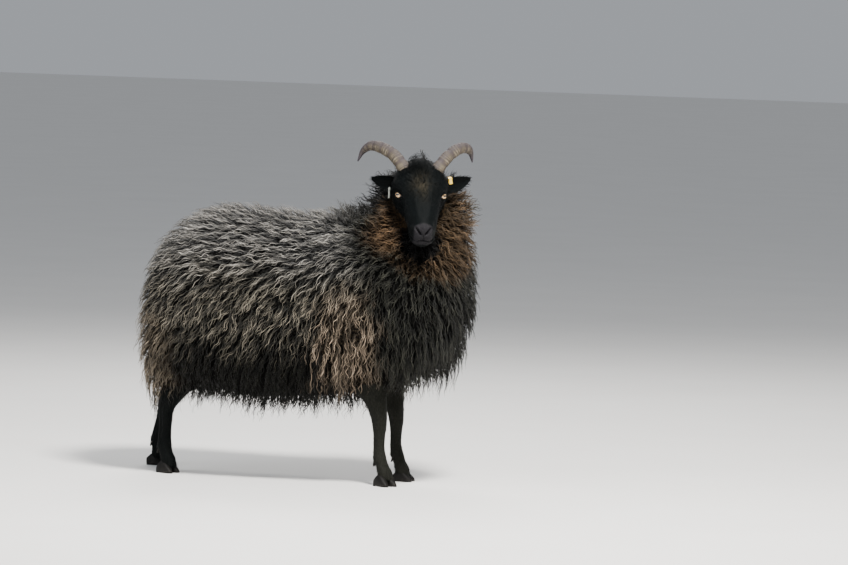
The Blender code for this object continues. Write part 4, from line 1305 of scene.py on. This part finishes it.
def lock_paths(roots, owner):
    """Each lock follows its staple's guide, drawn in towards it on the way, for its own share of the
    length, with a wave in two directions, a quarter turn apart, that grows from the root."""
    count = len(roots)
    t = np.linspace(0, 1, LOCK_POINTS)[None, :] ** 0.85
    reach = chance.uniform(0.7, 1.0, (count, 1))
    at = t * reach * (GUIDE_POINTS - 1)
    cell = np.minimum(at.astype(int), GUIDE_POINTS - 2)
    low, high = guides[owner[:, None], cell], guides[owner[:, None], cell + 1]
    middle = low + (high - low) * (at - cell)[..., None]
    gather = (GATHER + 0.3 * np.clip(tassel[owner], 0, 1))[:, None]
    spread = (roots - staple_roots[owner])[:, None] * (1 - gather * t**0.8)[..., None]
    heading = unit(np.gradient(middle, axis=1))
    side = unit(np.cross(heading, staple_out[owner][:, None]))
    waves = length[owner][:, None] * reach / WAVE_LENGTH * chance.uniform(0.8, 1.25, (count, 1))
    waves = np.minimum(waves, (LOCK_POINTS - 1) / POINTS_A_WAVE)
    phase = (staple_phase[owner] + chance.normal(0, 0.8, count))[:, None]
    height = WAVE_HEIGHT * chance.uniform(0.5, 1.5, (count, 1)) * rise(t, 0.0, 0.5) * (0.55 + 0.45 * t)
    height = height * (1 + 0.5 * tassel[owner] + 0.3 * face_near[owner])[:, None]
    turn = 2 * math.pi * waves * t + phase
    drift = chance.normal(0, LOCK_DRIFT, (count, 1)) * t**1.5
    waved = side * (height * np.sin(turn) + drift)[..., None]
    waved = waved + np.cross(side, heading) * (0.7 * height * np.cos(turn))[..., None]
    return middle + spread + waved, t


def over_face(paths):
    """Which locks would cross the face: any point ahead of the ears that lies within the head's oval,
    whose half width and height at each place along it are those of its stations."""
    ahead, beside, up = np.moveaxis((paths - head_middle) @ head_axes, -1, 0)
    at, *sizes = HEAD_STATIONS.T[:4]
    brow, jaw, half = (np.interp(ahead, at, size) for size in sizes)
    height = (up - (brow + jaw) / 2) / ((brow - jaw) / 2 + FACE_MARGIN)
    inside = (beside / (half + FACE_MARGIN)) ** 2 + height**2 < 1
    return (inside & (ahead > FACE_START)).any(axis=1)


paths, t = lock_paths(lock_roots, owner)
widths = LOCK_WIDTH * chance.uniform(0.5, 1.2, (LOCKS, 1))
widths = widths * (0.75 + 0.25 * rise(t, 0, 0.3)) * (1 - 0.88 * t**1.6)
lock_shade = chance.random(LOCKS)
clear = ~over_face(paths)

# Dark at the root, weathered towards the tip, each staple and lock a little different
wool, tree = new_material("wool")
shade = tree.value("shade")
weathered = tree.value("along").between(0.2, 0.8) * (shade**3 * 0.88 + 0.03 + tree.value("staple") * 0.12)
varying = {"Base Color": marks_and_painted_light(tree, weathered, shade - 0.5), "Roughness": 0.6 - shade * 0.2}
finish_with(tree, varying, {"Sheen Weight": 0.03, "Sheen Roughness": 0.4, "Specular IOR Level": 0.12})

# The pieces: which staples each takes, and the two directions that its OFBake map follows
RUFF_SPLIT, FLANK_END, RUMP_START = 0.02, -0.04, -0.285
x, y, z = staple_places[owner].T
facing = staple_out[owner, 2]
is_ruff = (z > 0.455 + 0.75 * (0.2 - x)) & (x > 0.1)
is_chest = ~is_ruff & (x > 0.235)
is_rump = x < RUMP_START
middle_part = ~(is_ruff | is_chest | is_rump)
is_belly, is_back = middle_part & (facing < -0.55), middle_part & (facing > 0.62)
is_side = middle_part & ~is_belly & ~is_back
WOOL_PIECES = {
    "wool_ruff_left": (is_ruff & (y > RUFF_SPLIT), X, Z),
    "wool_ruff_right": (is_ruff & (y <= RUFF_SPLIT), X, Z),
    "wool_chest": (is_chest, Y, Z),
    "wool_back": (is_back, X, Y),
    "wool_rump": (is_rump, Y, Z),
    "wool_belly": (is_belly, X, Y),
    "wool_shoulder_left": (is_side & (y > 0) & (x > FLANK_END), X, Z),
    "wool_shoulder_right": (is_side & (y <= 0) & (x > FLANK_END), X, Z),
    "wool_flank_left": (is_side & (y > 0) & (x <= FLANK_END), X, Z),
    "wool_flank_right": (is_side & (y <= 0) & (x <= FLANK_END), X, Z),
}
for name, (chosen, across, up) in WOOL_PIECES.items():
    chosen = chosen & clear
    values = {"shade": lock_shade[chosen], "staple": staple_shade[owner[chosen]]}
    uv = chart(lock_places[chosen], lock_out[chosen], across, up)
    piece = lock_piece(name, paths[chosen], widths[chosen], lock_out[chosen], LOCK_THICKNESS, uv, values)
    piece.data.materials.append(wool)
    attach(piece, "root")

# ------------------------------
# The floor, the lamps and the camera: a plain pale studio floor, one soft lamp high on the camera's
# right, a broad weaker one on the left, one behind, and an even surround.

FLOOR_REACH = 30.0
LIT_POINT = Vector((0, 0, 0.35))
# Azimuth, elevation, distance, size, power and colour
LAMPS = {
    "key_lamp": (46, 52, 3.5, 0.7, 380, (1.0, 0.97, 0.93)),
    "fill_lamp": (-30, 25, 4.0, 2.5, 60, (0.92, 0.96, 1.0)),
    "rim_lamp": (200, 45, 3.5, 1.5, 90, (1.0, 0.98, 0.95)),
}
SURROUND, SURROUND_STRENGTH = (0.8, 0.84, 0.9, 1), 0.46
CAMERA_AZIMUTH, CAMERA_RISE, CAMERA_ROLL = 22, 3.5, 1.5
CAMERA_DISTANCE = 12.0
METRES_ACROSS = 848 * 0.00215  # what the frame takes in at the ewe's distance
AIM = Vector((0.2382, 0.0999, 0.427))

floor_corners = FLOOR_REACH * np.array([(-1, -1, 0), (1, -1, 0), (1, 1, 0), (-1, 1, 0)], float)
floor = new_piece("floor", [{"points": floor_corners, "faces": [np.array([[0, 1, 2, 3]])]}])
material, tree = new_material("floor")
mottle = tree.noise(tree.place(), 3.0, 4.0).tint((0.76, 0.75, 0.73), (0.82, 0.81, 0.79))
finish_with(tree, {"Base Color": mottle}, {"Roughness": 0.85})
floor.data.materials.append(material)


def toward(azimuth, elevation):
    """The direction from the ewe to an azimuth, measured from her right side, and an elevation."""
    azimuth, elevation = math.radians(azimuth), math.radians(elevation)
    level_part = math.cos(elevation)
    return Vector((math.sin(azimuth) * level_part, -math.cos(azimuth) * level_part, math.sin(elevation)))


def held(name, data):
    """A lamp or camera on an object of its own."""
    holder = bpy.data.objects.new(name, data)
    bpy.context.collection.objects.link(holder)
    return holder


for name, (azimuth, elevation, distance, size, power, tone) in LAMPS.items():
    lamp = bpy.data.lights.new(name, "AREA")
    lamp.size, lamp.energy, lamp.color = size, power, tone
    holder, away = held(name, lamp), toward(azimuth, elevation)
    holder.location = LIT_POINT + away * distance
    holder.rotation_euler = away.to_track_quat("Z", "Y").to_euler()

world = bpy.data.worlds.new("surround")
bpy.context.scene.world = world
world.use_nodes = True
surround = world.node_tree.nodes["Background"].inputs
surround["Color"].default_value, surround["Strength"].default_value = SURROUND, SURROUND_STRENGTH

back = toward(CAMERA_AZIMUTH, CAMERA_RISE)
camera = bpy.data.cameras.new("camera")
camera.sensor_width = 36.0
camera.lens = camera.sensor_width * CAMERA_DISTANCE / METRES_ACROSS
holder = held("camera", camera)
holder.location = AIM + back * CAMERA_DISTANCE
right = Vector((math.cos(math.radians(CAMERA_AZIMUTH)), math.sin(math.radians(CAMERA_AZIMUTH)), 0))
roll = math.radians(CAMERA_ROLL)
rolled = right * math.cos(roll) + back.cross(right) * math.sin(roll)
holder.rotation_euler = Matrix((rolled, back.cross(rolled), back)).transposed().to_euler()
bpy.context.scene.camera = holder
